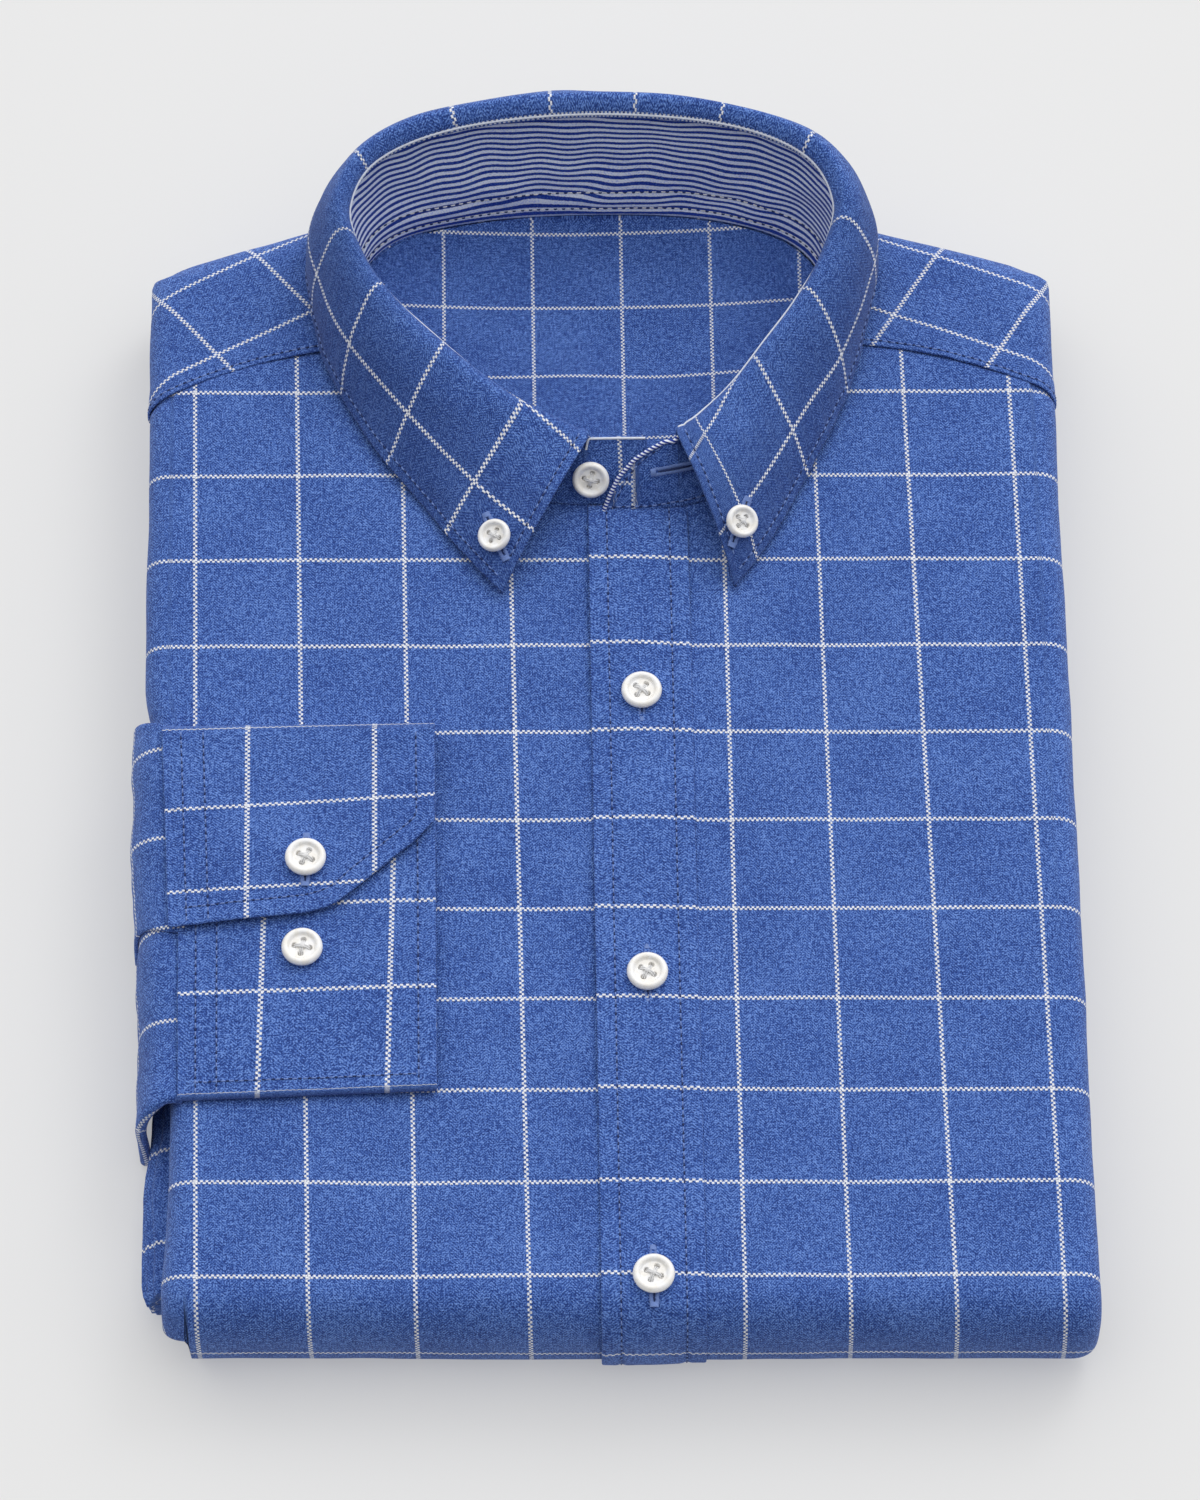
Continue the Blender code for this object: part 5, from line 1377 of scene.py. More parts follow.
def stitch_row(patch, a, b, sizes, seed, lift=0.0):
    """Evenly spaced stitches along a path of grid places, each a little off its place."""
    points, normals = patch.place(a, b)
    run = run_length(points)
    count = max(2, int(run[-1] / sizes.stitch_pitch))
    chance = np.random.default_rng(seed)
    where = (np.arange(count) + 0.5) * run[-1] / count
    where = where + chance.normal(0, 0.05 * sizes.stitch_pitch, count)
    at = [np.column_stack([np.interp(where + shift, run, points[:, k]) for k in range(3)])
          for shift in (-0.4 * sizes.stitch, 0, 0.4 * sizes.stitch)]
    along = unit(at[2] - at[0])
    normal = np.column_stack([np.interp(where, run, normals[:, k]) for k in range(3)])
    normal = unit(normal - along * np.sum(normal * along, axis=-1, keepdims=True))
    return at[1] + normal * lift, along, normal, sizes.stitch / 2, sizes.thread


def painted_hole_shades(row):
    """Painted shade in the needle holes between a row's stitches, where the thread goes through the
    cloth.
    """
    centres, along, normals = row[:3]
    middle = (centres[1:] + centres[:-1]) / 2 + normals[1:] * 0.04 * MM
    return middle, along[1:], normals[1:], *NEEDLE_HOLE_HALF


def inset_columns(patch, distance, from_end=False):
    """Grid places a fixed distance in from the first row (or the last), for every column."""
    points = patch.points[::-1] if from_end else patch.points
    run = np.cumsum(np.linalg.norm(np.diff(points, axis=0), axis=-1), axis=0)
    run = np.concatenate([np.zeros((1, points.shape[1])), run])
    index = np.argmax(run > distance, axis=0)
    cols = np.arange(points.shape[1])
    before, after = run[index - 1, cols], run[index, cols]
    a = index - 1 + (distance - before) / (after - before)
    return (len(points) - 1 - a if from_end else a), cols.astype(float)


def inset_rows(patch, distance, from_end=False):
    """Grid places a fixed distance in from the first column (or the last), for every row."""
    swapped = Patch(np.swapaxes(patch.points, 0, 1), np.swapaxes(patch.cloth, 0, 1))
    b, a = inset_columns(swapped, distance, from_end)
    return a, b


def nearest_place(patch, target, rows=None):
    """Grid place of a patch nearest in plan to a target."""
    away = np.hypot(patch.points[..., 0] - target[0], patch.points[..., 1] - target[1])
    if rows is not None:
        keep = np.zeros(away.shape, bool)
        keep[rows] = True
        away = np.where(keep, away, 1.0)
    place = np.unravel_index(np.argmin(np.where(patch.normals[..., 2] > 0, away, 1.0)), away.shape)
    return float(place[0]), float(place[1])


def buttonhole_rows(patch, centre, direction, half, seed):
    """A worked buttonhole: fine threads laid side by side along both lips of the cut, a bar of
    longer threads across each end, and, second, a dark mark of painted shade in the opening
    between the lips."""
    a, b = nearest_place(patch, centre)
    point, normal = (value[0] for value in patch.place([a], [b]))
    along = np.array([direction[0], direction[1], 0.0])
    along = along - normal * np.dot(along, normal)
    along /= np.linalg.norm(along)
    side = np.cross(normal, along)
    chance = np.random.default_rng(seed)
    count = int(2 * half / LIP_STEP)
    steps = np.linspace(-half, half, count)
    rows = []
    for lip in (-1, 1):
        centres = (point + along * steps[:, None] + side * lip * LIP_OFFSET
                   + normal * 0.10 * MM + side * chance.normal(0, 0.04 * MM, (count, 1)))
        rows.append((centres, np.tile(side, (count, 1)), np.tile(normal, (count, 1)),
                     0.60 * MM, 0.20 * MM))
    for end in (-1, 1):
        steps = end * (half + np.arange(BAR_THREADS) * BAR_STEP)
        centres = point + along * steps[:, None] + normal * 0.16 * MM
        rows.append((centres, np.tile(side, (BAR_THREADS, 1)), np.tile(normal, (BAR_THREADS, 1)),
                     1.25 * MM, 0.24 * MM))
    # Painted shade: a dark flat thread laid in the slit for the shade inside it
    gap_shade = [(point[None] + normal * 0.02 * MM, along[None], normal[None], half, 0.30 * MM)]
    return rows, gap_shade


# ---- materials ------------------------------------------------------------------------------
class Graph:
    """Wires nodes in a tree: each method returns an output socket, and a value that isn't a socket
    is set on the input."""

    def __init__(self, tree):
        self.nodes, self.links = tree.nodes, tree.links

    def feed(self, socket, value):
        if isinstance(value, bpy.types.NodeSocket):
            self.links.new(value, socket)
        else:
            socket.default_value = value

    def maths(self, operation, *values):
        node = self.nodes.new('ShaderNodeMath')
        node.operation = operation
        for socket, value in zip(node.inputs, values):
            self.feed(socket, value)
        return node.outputs[0]

    def apart(self, vector):
        node = self.nodes.new('ShaderNodeSeparateXYZ')
        self.feed(node.inputs[0], vector)
        return node.outputs[0], node.outputs[1], node.outputs[2]

    def together(self, x, y, z=0.0):
        node = self.nodes.new('ShaderNodeCombineXYZ')
        for socket, value in zip(node.inputs, (x, y, z)):
            self.feed(socket, value)
        return node.outputs[0]

    def place(self, kind="Object"):
        """The place on the object, or another kind of texture coordinate."""
        return self.nodes.new('ShaderNodeTexCoord').outputs[kind]

    def noise(self, vector, scale, detail=2.0, roughness=0.55):
        node = self.nodes.new('ShaderNodeTexNoise')
        self.feed(node.inputs["Vector"], vector)
        node.inputs["Scale"].default_value = scale
        node.inputs["Detail"].default_value = detail
        node.inputs["Roughness"].default_value = roughness
        return node.outputs["Fac"]

    def ramp(self, value, low, high, start=0.0, end=1.0):
        node = self.nodes.new('ShaderNodeMapRange')
        node.interpolation_type = 'SMOOTHSTEP'
        for socket, given in zip(node.inputs, (value, low, high, start, end)):
            self.feed(socket, given)
        return node.outputs["Result"]

    def blend(self, share, first, second):
        node = self.nodes.new('ShaderNodeMix')
        node.data_type = 'RGBA'
        self.feed(node.inputs[0], share)
        self.feed(node.inputs[6], first)
        self.feed(node.inputs[7], second)
        return node.outputs[2]

    def group(self, tree, **values):
        node = self.nodes.new('ShaderNodeGroup')
        node.node_tree = tree
        for name, value in values.items():
            self.feed(node.inputs[name], value)
        return node.outputs


def new_group(name, inputs, outputs):
    """Node group with float, vector or colour sockets, its graph and its end nodes."""
    tree = bpy.data.node_groups.new(name, 'ShaderNodeTree')
    for socket, kind in inputs:
        tree.interface.new_socket(name=socket, in_out='INPUT', socket_type=f"NodeSocket{kind}")
    for socket, kind in outputs:
        tree.interface.new_socket(name=socket, in_out='OUTPUT', socket_type=f"NodeSocket{kind}")
    start = tree.nodes.new('NodeGroupInput')
    end = tree.nodes.new('NodeGroupOutput')
    return tree, Graph(tree), start.outputs, end.inputs


def shared_group(name, build):
    """The group of this name, built at its first use."""
    return bpy.data.node_groups.get(name) or build(name)


def cotton_weave(name):
    """Yarn-dyed cotton seen close: a fine herringbone twill whose direction turns every few
    millimetres, flecks of lighter and darker yarn, and slubs along both yarns. The place is in
    millimetres on the cloth."""
    tree, graph, given, result = new_group(name, [("Place", "Vector")],
                                           [("Shade", "Float"), ("Height", "Float")])
    x, y, _ = graph.apart(given["Place"])
    turn = graph.maths('SIGN', graph.maths('SINE', graph.maths('MULTIPLY', x, np.pi / TWILL_BAND)))
    slant = graph.maths('ADD', graph.maths('MULTIPLY', x, turn), y)
    twill = graph.maths('SINE', graph.maths('MULTIPLY', slant, 2 * np.pi / TWILL_PITCH))
    fleck = graph.noise(given["Place"], 1.15, 2.0, 0.75)
    fine = graph.noise(given["Place"], 2.6, 1.0, 0.6)
    warp = graph.noise(graph.together(graph.maths('MULTIPLY', x, 2.4),
                                      graph.maths('MULTIPLY', y, 0.35)), 1.0, 1.0)
    weft = graph.noise(graph.together(graph.maths('MULTIPLY', x, 0.35),
                                      graph.maths('MULTIPLY', y, 2.4), 7.0), 1.0, 1.0)
    wash = graph.noise(given["Place"], 0.045, 2.0)
    total = graph.maths('MULTIPLY', twill, 0.13)
    for value, weight in ((fleck, 1.2), (fine, 1.7), (warp, 0.75), (weft, 0.75), (wash, 0.30)):
        centred = graph.maths('SUBTRACT', value, 0.5)
        total = graph.maths('MULTIPLY_ADD', centred, weight, total)
    graph.feed(result["Shade"], graph.maths('ADD', total, 0.5))
    height = graph.maths('MULTIPLY', twill, 0.25)
    for value, weight in ((fleck, 1.2), (fine, 0.8), (warp, 0.5), (weft, 0.5)):
        height = graph.maths('MULTIPLY_ADD', value, weight, height)
    graph.feed(result["Height"], height)
    return tree


def zigzag_line(name):
    """One white line of the check: two rows of small picks side by side along it, each row's picks
    beside the other's gaps, their strength uneven. Lengths are in millimetres."""
    tree, graph, given, result = new_group(
        name, [("Across", "Float"), ("Along", "Float"), ("Width", "Float"), ("Uneven", "Float")],
        [("Mask", "Float")])
    side = graph.maths('DIVIDE', given["Across"], graph.maths('MULTIPLY', given["Width"], 0.25))
    side = graph.maths('MINIMUM', graph.maths('MAXIMUM', side, -1.0), 1.0)
    picks = graph.maths('SINE', graph.maths('MULTIPLY', given["Along"], 2 * np.pi / ZIGZAG_PITCH))
    picks = graph.maths('MULTIPLY', picks, side)
    picks = graph.ramp(picks, -0.25, 0.20, 0.0, 1.0)
    off = graph.maths('ABSOLUTE', given["Across"])
    band = graph.ramp(off, graph.maths('MULTIPLY', given["Width"], 0.40),
                      graph.maths('MULTIPLY', given["Width"], 0.60), 1.0, 0.0)
    strength = graph.ramp(given["Uneven"], 0.28, 0.5, 0.72, 1.0)
    graph.feed(result["Mask"], graph.maths('MULTIPLY', graph.maths('MULTIPLY', band, picks),
                                           strength))
    return tree


def check_lines(name):
    """The whole windowpane: a zigzag line wherever a count is a whole number."""
    tree, graph, given, result = new_group(
        name, [("Count", "Vector"), ("Place", "Vector"), ("Width", "Float"), ("Columns", "Float"),
               ("Rows", "Float")], [("Mask", "Float")])
    line = shared_group("zigzag_line", zigzag_line)
    u, v, _ = graph.apart(given["Count"])
    x, y, _ = graph.apart(given["Place"])
    uneven = graph.noise(given["Place"], 1.7, 1.0)
    masks = []
    for count, along, repeat in ((u, y, given["Columns"]), (v, x, given["Rows"])):
        nearest = graph.maths('ROUND', count)
        across = graph.maths('MULTIPLY', graph.maths('SUBTRACT', count, nearest), repeat)
        masks.append(graph.group(line, Across=across, Along=along, Width=given["Width"],
                                 Uneven=uneven)["Mask"])
    graph.feed(result["Mask"], graph.maths('MAXIMUM', *masks))
    return tree


def new_material(name, solid, roughness):
    """Material with its Principled shader, the graph and the look in the solid view."""
    surface = bpy.data.materials.new(name)
    surface.use_nodes = True
    surface.diffuse_color = (*solid, 1.0)
    shader = surface.node_tree.nodes["Principled BSDF"]
    shader.inputs["Roughness"].default_value = roughness
    return surface, Graph(surface.node_tree), shader.inputs


def bump(graph, height, strength, distance):
    """A normal raised by the height."""
    node = graph.nodes.new('ShaderNodeBump')
    node.inputs["Strength"].default_value = strength
    node.inputs["Distance"].default_value = distance
    graph.feed(node.inputs["Height"], height)
    return node.outputs["Normal"]


def cloth_places(graph, across, along):
    """The piece's cloth coordinates, and the same in millimetres of cloth."""
    node = graph.nodes.new('ShaderNodeUVMap')
    node.uv_map = "cloth"
    u, v, _ = graph.apart(node.outputs["UV"])
    return node.outputs["UV"], graph.together(graph.maths('MULTIPLY', u, across / MM),
                                              graph.maths('MULTIPLY', v, along / MM))


def blue_check(name, sizes, colours, painted_shade=1.0):
    """Blue cotton with the white windowpane check. A painted shade below one darkens the cloth
    towards the outer edge, where the count along is low: painted shade for the leaf's slope away
    from the light, not a colour of the cloth."""
    surface, graph, shader = new_material(name, colours.cloth, 0.88)
    count, place = cloth_places(graph, sizes.check_width, sizes.check_length)
    weave = graph.group(shared_group("cotton_weave", cotton_weave), Place=place)
    lines = graph.group(shared_group("check_lines", check_lines), Count=count, Place=place,
                        Width=sizes.line_width / MM, Columns=sizes.check_width / MM,
                        Rows=sizes.check_length / MM)["Mask"]
    dark = graph.ramp(weave["Shade"], 0.22, 0.52)
    light = graph.ramp(weave["Shade"], 0.50, 0.84)
    base = graph.blend(dark, (*colours.cloth_dark, 1), (*colours.cloth, 1))
    base = graph.blend(light, base, (*colours.cloth_light, 1))
    # Painted shade: blend towards a darker copy of the dark yarn colour, more towards the outer edge
    if painted_shade < 1:
        _, down, _ = graph.apart(count)
        depth = graph.ramp(down, 0.1, 0.85, 1.0, 0.0)
        deep = tuple(painted_shade * part for part in colours.cloth_dark)
        base = graph.blend(graph.maths('MULTIPLY', depth, 1 - painted_shade), base, (*deep, 1))
    share = graph.maths('MULTIPLY', lines, graph.ramp(weave["Shade"], 0.15, 0.6, 0.78, 0.98))
    graph.feed(shader["Base Color"], graph.blend(share, base, (*colours.line, 1)))
    height = graph.maths('MULTIPLY_ADD', lines, 0.8, weave["Height"])
    graph.feed(shader["Normal"], bump(graph, height, 0.7, 0.26 * MM))
    shader["Specular IOR Level"].default_value = 0.25
    shader["Sheen Weight"].default_value = 0.10
    shader["Sheen Roughness"].default_value = 0.5
    return surface


def striped_cotton(name, sizes, colours):
    """Navy and white striped cotton, the stripes along the collar."""
    surface, graph, shader = new_material(name, colours.stripe_pale, 0.85)
    count, place = cloth_places(graph, sizes.stripe, sizes.stripe)
    weave = graph.group(shared_group("cotton_weave", cotton_weave), Place=place)
    _, v, _ = graph.apart(count)
    ragged = graph.maths('MULTIPLY_ADD', graph.noise(place, 1.6, 2.0), 0.16, -0.08)
    phase = graph.maths('FRACT', graph.maths('ADD', v, ragged))
    from_middle = graph.maths('ABSOLUTE', graph.maths('SUBTRACT', phase, 0.5))
    navy = graph.ramp(from_middle, 0.21, 0.28, 1.0, 0.0)
    pale = graph.blend(graph.ramp(weave["Shade"], 0.1, 0.55), (0.58, 0.66, 0.98, 1),
                       (*colours.stripe_pale, 1))
    deep = graph.blend(graph.ramp(weave["Shade"], 0.4, 0.95), (*colours.stripe_dark, 1),
                       (*colours.cloth, 1))
    graph.feed(shader["Base Color"], graph.blend(navy, pale, deep))
    graph.feed(shader["Normal"], bump(graph, weave["Height"], 0.4, 0.2 * MM))
    shader["Specular IOR Level"].default_value = 0.25
    return surface


def pearl_button(name, colours):
    """Off-white polished shell: soft clouds of warmer and cooler white under a clear gloss."""
    surface, graph, shader = new_material(name, colours.button, 0.30)
    cloud = graph.noise(graph.place(), 420.0, 2.0)
    warm = (*colours.button, 1)
    cool = (0.93, 0.93, 0.94, 1)
    graph.feed(shader["Base Color"], graph.blend(graph.ramp(cloud, 0.35, 0.65), warm, cool))
    graph.feed(shader["Roughness"], graph.ramp(cloud, 0.3, 0.7, 0.24, 0.36))
    shader["Coat Weight"].default_value = 0.35
    shader["Coat Roughness"].default_value = 0.12
    return surface


def sewing_thread(name, colour_value):
    """Matt spun thread: strength of colour uneven along it."""
    surface, graph, shader = new_material(name, colour_value, 0.75)
    uneven = graph.noise(graph.place(), 1500.0, 1.0)
    darker = tuple(0.72 * part for part in colour_value)
    graph.feed(shader["Base Color"], graph.blend(uneven, (*darker, 1), (*colour_value, 1)))
    graph.feed(shader["Normal"], bump(graph, uneven, 0.3, 0.08 * MM))
    return surface


def striped_piping(name, colours):
    """Navy and white cotton cut on the bias and rolled round a cord: slanted stripes."""
    surface, graph, shader = new_material(name, colours.stripe_pale, 0.85)
    x, y, z = graph.apart(graph.place())
    slanted = graph.maths('MULTIPLY_ADD', x, 0.55, graph.maths('ADD', y, z))
    wave = graph.maths('SINE', graph.maths('MULTIPLY', slanted, 2 * np.pi / PIPING_PITCH))
    navy = graph.ramp(wave, -0.25, 0.15)
    graph.feed(shader["Base Color"], graph.blend(navy, (*colours.stripe_pale, 1),
                                                 (*colours.stripe_dark, 1)))
    return surface


def floor_surface(name, colours):
    """Pale matt floor that gives off a little light, so that shadows on it stay soft."""
    surface, graph, shader = new_material(name, colours.floor, 0.95)
    faint = graph.noise(graph.place(), 3.0, 2.0)
    lit = tuple(FLOOR_REFLECTED * part for part in colours.floor)
    lighter = tuple(1.01 * part for part in lit)
    graph.feed(shader["Base Color"], graph.blend(faint, (*lit, 1), (*lighter, 1)))
    shader["Specular IOR Level"].default_value = 0.1
    shader["Emission Color"].default_value = (*colours.floor, 1)
    shader["Emission Strength"].default_value = FLOOR_GLOW
    return surface


def surface_named(name, context):
    """The shirt's material of this name, built at its first use."""
    known = bpy.data.materials.get(f"shirt_{name}")
    if known:
        return known
    sizes, colours = context.scene.shirt_sizes, context.scene.shirt_colours
    makers = {
        "blue_check": lambda n: blue_check(n, sizes, colours),
        # The leaf's check is a copy of the blue check with painted shade towards its outer edge
        "leaf_check": lambda n: blue_check(n, sizes, colours, LEAF_PAINTED_SHADE),
        "striped": lambda n: striped_cotton(n, sizes, colours),
        "pearl": lambda n: pearl_button(n, colours),
        "thread": lambda n: sewing_thread(n, tuple(colours.thread)),
        "white_thread": lambda n: sewing_thread(n, tuple(colours.button_thread)),
        "edge_line": lambda n: sewing_thread(n, tuple(colours.stripe_pale)),
        # Painted shade: the dark marks in needle holes and slits, made with the thread material
        "gap_shade": lambda n: sewing_thread(n, tuple(colours.painted_hole_shade)),
        "piping": lambda n: striped_piping(n, colours),
        "floor": lambda n: floor_surface(n, colours),
    }
    return makers[name](f"shirt_{name}")


# ---- operators ------------------------------------------------------------------------------
PATCHES = {}


class HiddenLayersOperator(bpy.types.Operator):
    """Build the back and tail folded under the fronts"""
    bl_idname = "shirt.hidden_layers"
    bl_label = "Hidden layers"

    def execute(self, context):
        sizes = context.scene.shirt_sizes
        mesh = hidden_layers_mesh("folded_layers", sizes)
        item = finish_mesh("folded_layers", mesh, surface_named("blue_check", context))
        add_wall(item, 0.6 * MM)
        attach(item, "root")
        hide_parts("folded_back")
        return {'FINISHED'}


class FrontsOperator(bpy.types.Operator):
    """Build the two fronts and the placket"""
    bl_idname = "shirt.fronts"
    bl_label = "Fronts and placket"

    def execute(self, context):
        sizes = context.scene.shirt_sizes
        surface = surface_named("blue_check", context)
        for name, side in (("front_right_cloth", -1), ("front_left_cloth", 1)):
            patch = front_patch(side, sizes)
            PATCHES[name] = patch
            cloth_piece(name, patch, surface, sizes.cloth, name[:-len("_cloth")])
        patch = placket_patch(sizes)
        PATCHES["placket"] = patch
        cloth = edged(patch, ("first_row", 0.5 * MM), ("last_row", 0.5 * MM))
        cloth_piece("placket_cloth", cloth, surface, 0.5 * MM, "front_placket")
        return {'FINISHED'}


class YokeOperator(bpy.types.Operator):
    """Build the yoke over the shoulders and the inside of the back"""
    bl_idname = "shirt.yoke"
    bl_label = "Yoke and back neck"

    def execute(self, context):
        sizes = context.scene.shirt_sizes
        surface = surface_named("blue_check", context)
        patch = yoke_patch(sizes)
        PATCHES["yoke"] = patch
        cloth = edged(patch, ("first_row", 0.45 * MM, 120), ("last_row", 0.45 * MM, 120))
        cloth_piece("yoke_cloth", cloth, surface, sizes.cloth * 0.8, "yoke")
        patch = back_neck_patch(sizes)
        cloth_piece("back_neck_cloth", patch, surface, sizes.cloth, "back_neck")
        return {'FINISHED'}


class CollarOperator(bpy.types.Operator):
    """Build the collar's stand, striped facing and leaf"""
    bl_idname = "shirt.collar"
    bl_label = "Collar"

    def execute(self, context):
        sizes = context.scene.shirt_sizes
        surface = surface_named("blue_check", context)
        patch = stand_patch(sizes)
        PATCHES["stand"] = patch
        cloth = edged(patch, ("first_row", 0.5 * MM, 170), ("last_row", 0.4 * MM, 150),
                      ("last_column", 0.5 * MM, 170))
        cloth_piece("stand_cloth", cloth, surface, 0.6 * MM, "collar_stand")
        patch = facing_patch(sizes)
        PATCHES["facing"] = patch
        cloth_piece("facing_cloth", patch, surface_named("striped", context), 0.6 * MM,
                    "collar_facing")
        patch = leaf_patch(sizes)
        PATCHES["leaf"] = patch
        cloth = edged(patch, ("first_row", 0.5 * MM, 160), ("last_row", 0.5 * MM, 160),
                      ("last_column", 0.55 * MM, 160), ("first_column", 0.5 * MM, 150))
        # The leaf's material carries painted shade towards its outer edge
        cloth_piece("leaf_cloth", cloth, surface_named("leaf_check", context), 0.6 * MM,
                    "collar_leaf")
        return {'FINISHED'}


class SleeveOperator(bpy.types.Operator):
    """Build the cuff and what shows of the sleeve"""
    bl_idname = "shirt.sleeve"
    bl_label = "Cuff and sleeve"

    def execute(self, context):
        sizes = context.scene.shirt_sizes
        surface = surface_named("blue_check", context)
        patch = cuff_patch(sizes)
        PATCHES["cuff"] = patch
        cloth = edged(patch, ("last_column", 0.42 * MM, 160), ("first_column", 0.42 * MM, 120),
                      ("last_row", 0.5 * MM, 160))
        cloth_piece("cuff_cloth", cloth, surface, 0.55 * MM, "cuff")
        low = sleeve_patch(sizes, PACK_HEIGHT + CUFF_UNDER_HEIGHT - 1.5 * MM, 0.0,
                           (-3.6 * MM, 0.2 * MM), (-117.2 * MM, -121.4 * MM), 1.4 * MM, 85,
                           CUFF_LEFT_X + 3.0 * MM)
        cloth = rolled(low, "first_column", 1.6 * MM, 170, 8)
        cloth_piece("sleeve_cloth", cloth, surface, sizes.cloth, "sleeve")
        high = sleeve_patch(sizes, PACK_HEIGHT + CUFF_FLAP_HEIGHT - 2.0 * MM, GAP + 1.3 * MM,
                            (-3.4 * MM, 0.6 * MM), (-67.0 * MM, -64.0 * MM), 9.0 * MM, 87,
                            CUFF_LEFT_X + 3.0 * MM, rows=56)
        cloth = rolled(high, "first_column", 0.7 * MM, 160)
        cloth_piece("sleeve_placket_cloth", cloth, surface, sizes.cloth, "sleeve_placket")
        return {'FINISHED'}


def patch_seat(patch, target, rows=None):
    """Point and normal of a patch at the grid place nearest in plan to a target."""
    a, b = nearest_place(patch, target, rows)
    point, normal = patch.place([a], [b])
    return point[0], normal[0]


def button_seats():
    """Seat, normal, radius, spin and name of every button."""
    up = np.array([0.0, 0.0, 1.0])
    seats = []
    for number, y in enumerate(FRONT_BUTTON_Y, 1):
        point, _ = patch_seat(PATCHES["placket"], (CENTRE_X, y))
        seats.append((f"front_{number}", point, up, FRONT_BUTTON_RADIUS, 0.12 * number))
    flap_rows = len(PATCHES["cuff"].points) - CUFF_FLAP_COUNT
    spans = (slice(flap_rows, None), slice(0, CUFF_UNDER_COUNT))
    for number, (target, rows) in enumerate(zip(CUFF_BUTTONS, spans), 1):
        point, _ = patch_seat(PATCHES["cuff"], target, rows)
        seats.append((f"cuff_{number}", point, up, FRONT_BUTTON_RADIUS, 0.3 * number))
    for name, target in (("collar_right", COLLAR_BUTTON_RIGHT),
                         ("collar_left", COLLAR_BUTTON_LEFT)):
        point, normal = patch_seat(PATCHES["leaf"], target)
        seats.append((name, point, normal, COLLAR_BUTTON_RADIUS, 0.2))
    ends = slice(len(PATCHES["stand"].points) - STAND_END_COUNT - 4, None)
    point, normal = patch_seat(PATCHES["stand"], NECK_BUTTON, ends)
    seats.append(("neck", point, normal, NECK_BUTTON_RADIUS, 0.5))
    return seats


class ButtonsOperator(bpy.types.Operator):
    """Build the buttons and the threads that hold them"""
    bl_idname = "shirt.buttons"
    bl_label = "Buttons"

    def execute(self, context):
        threads = []
        for name, point, normal, radius, spin in button_seats():
            seat = point + normal * SHANK
            body, tris = button_points(radius)
            mesh = mesh_of(f"button_{name}_pearl", standing_on(body, seat, normal, spin), tris)
            item = finish_mesh(f"button_{name}_pearl", mesh, surface_named("pearl", context), 60)
            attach(item, "root")
            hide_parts(f"button_{name}")
            thread, tris = button_thread(radius)
            threads.append((standing_on(thread, seat, normal, spin), tris))
        mesh = mesh_of("button_threads", *joined(threads))
        item = finish_mesh("button_threads", mesh, surface_named("white_thread", context), 80)
        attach(item, "root")
        return {'FINISHED'}


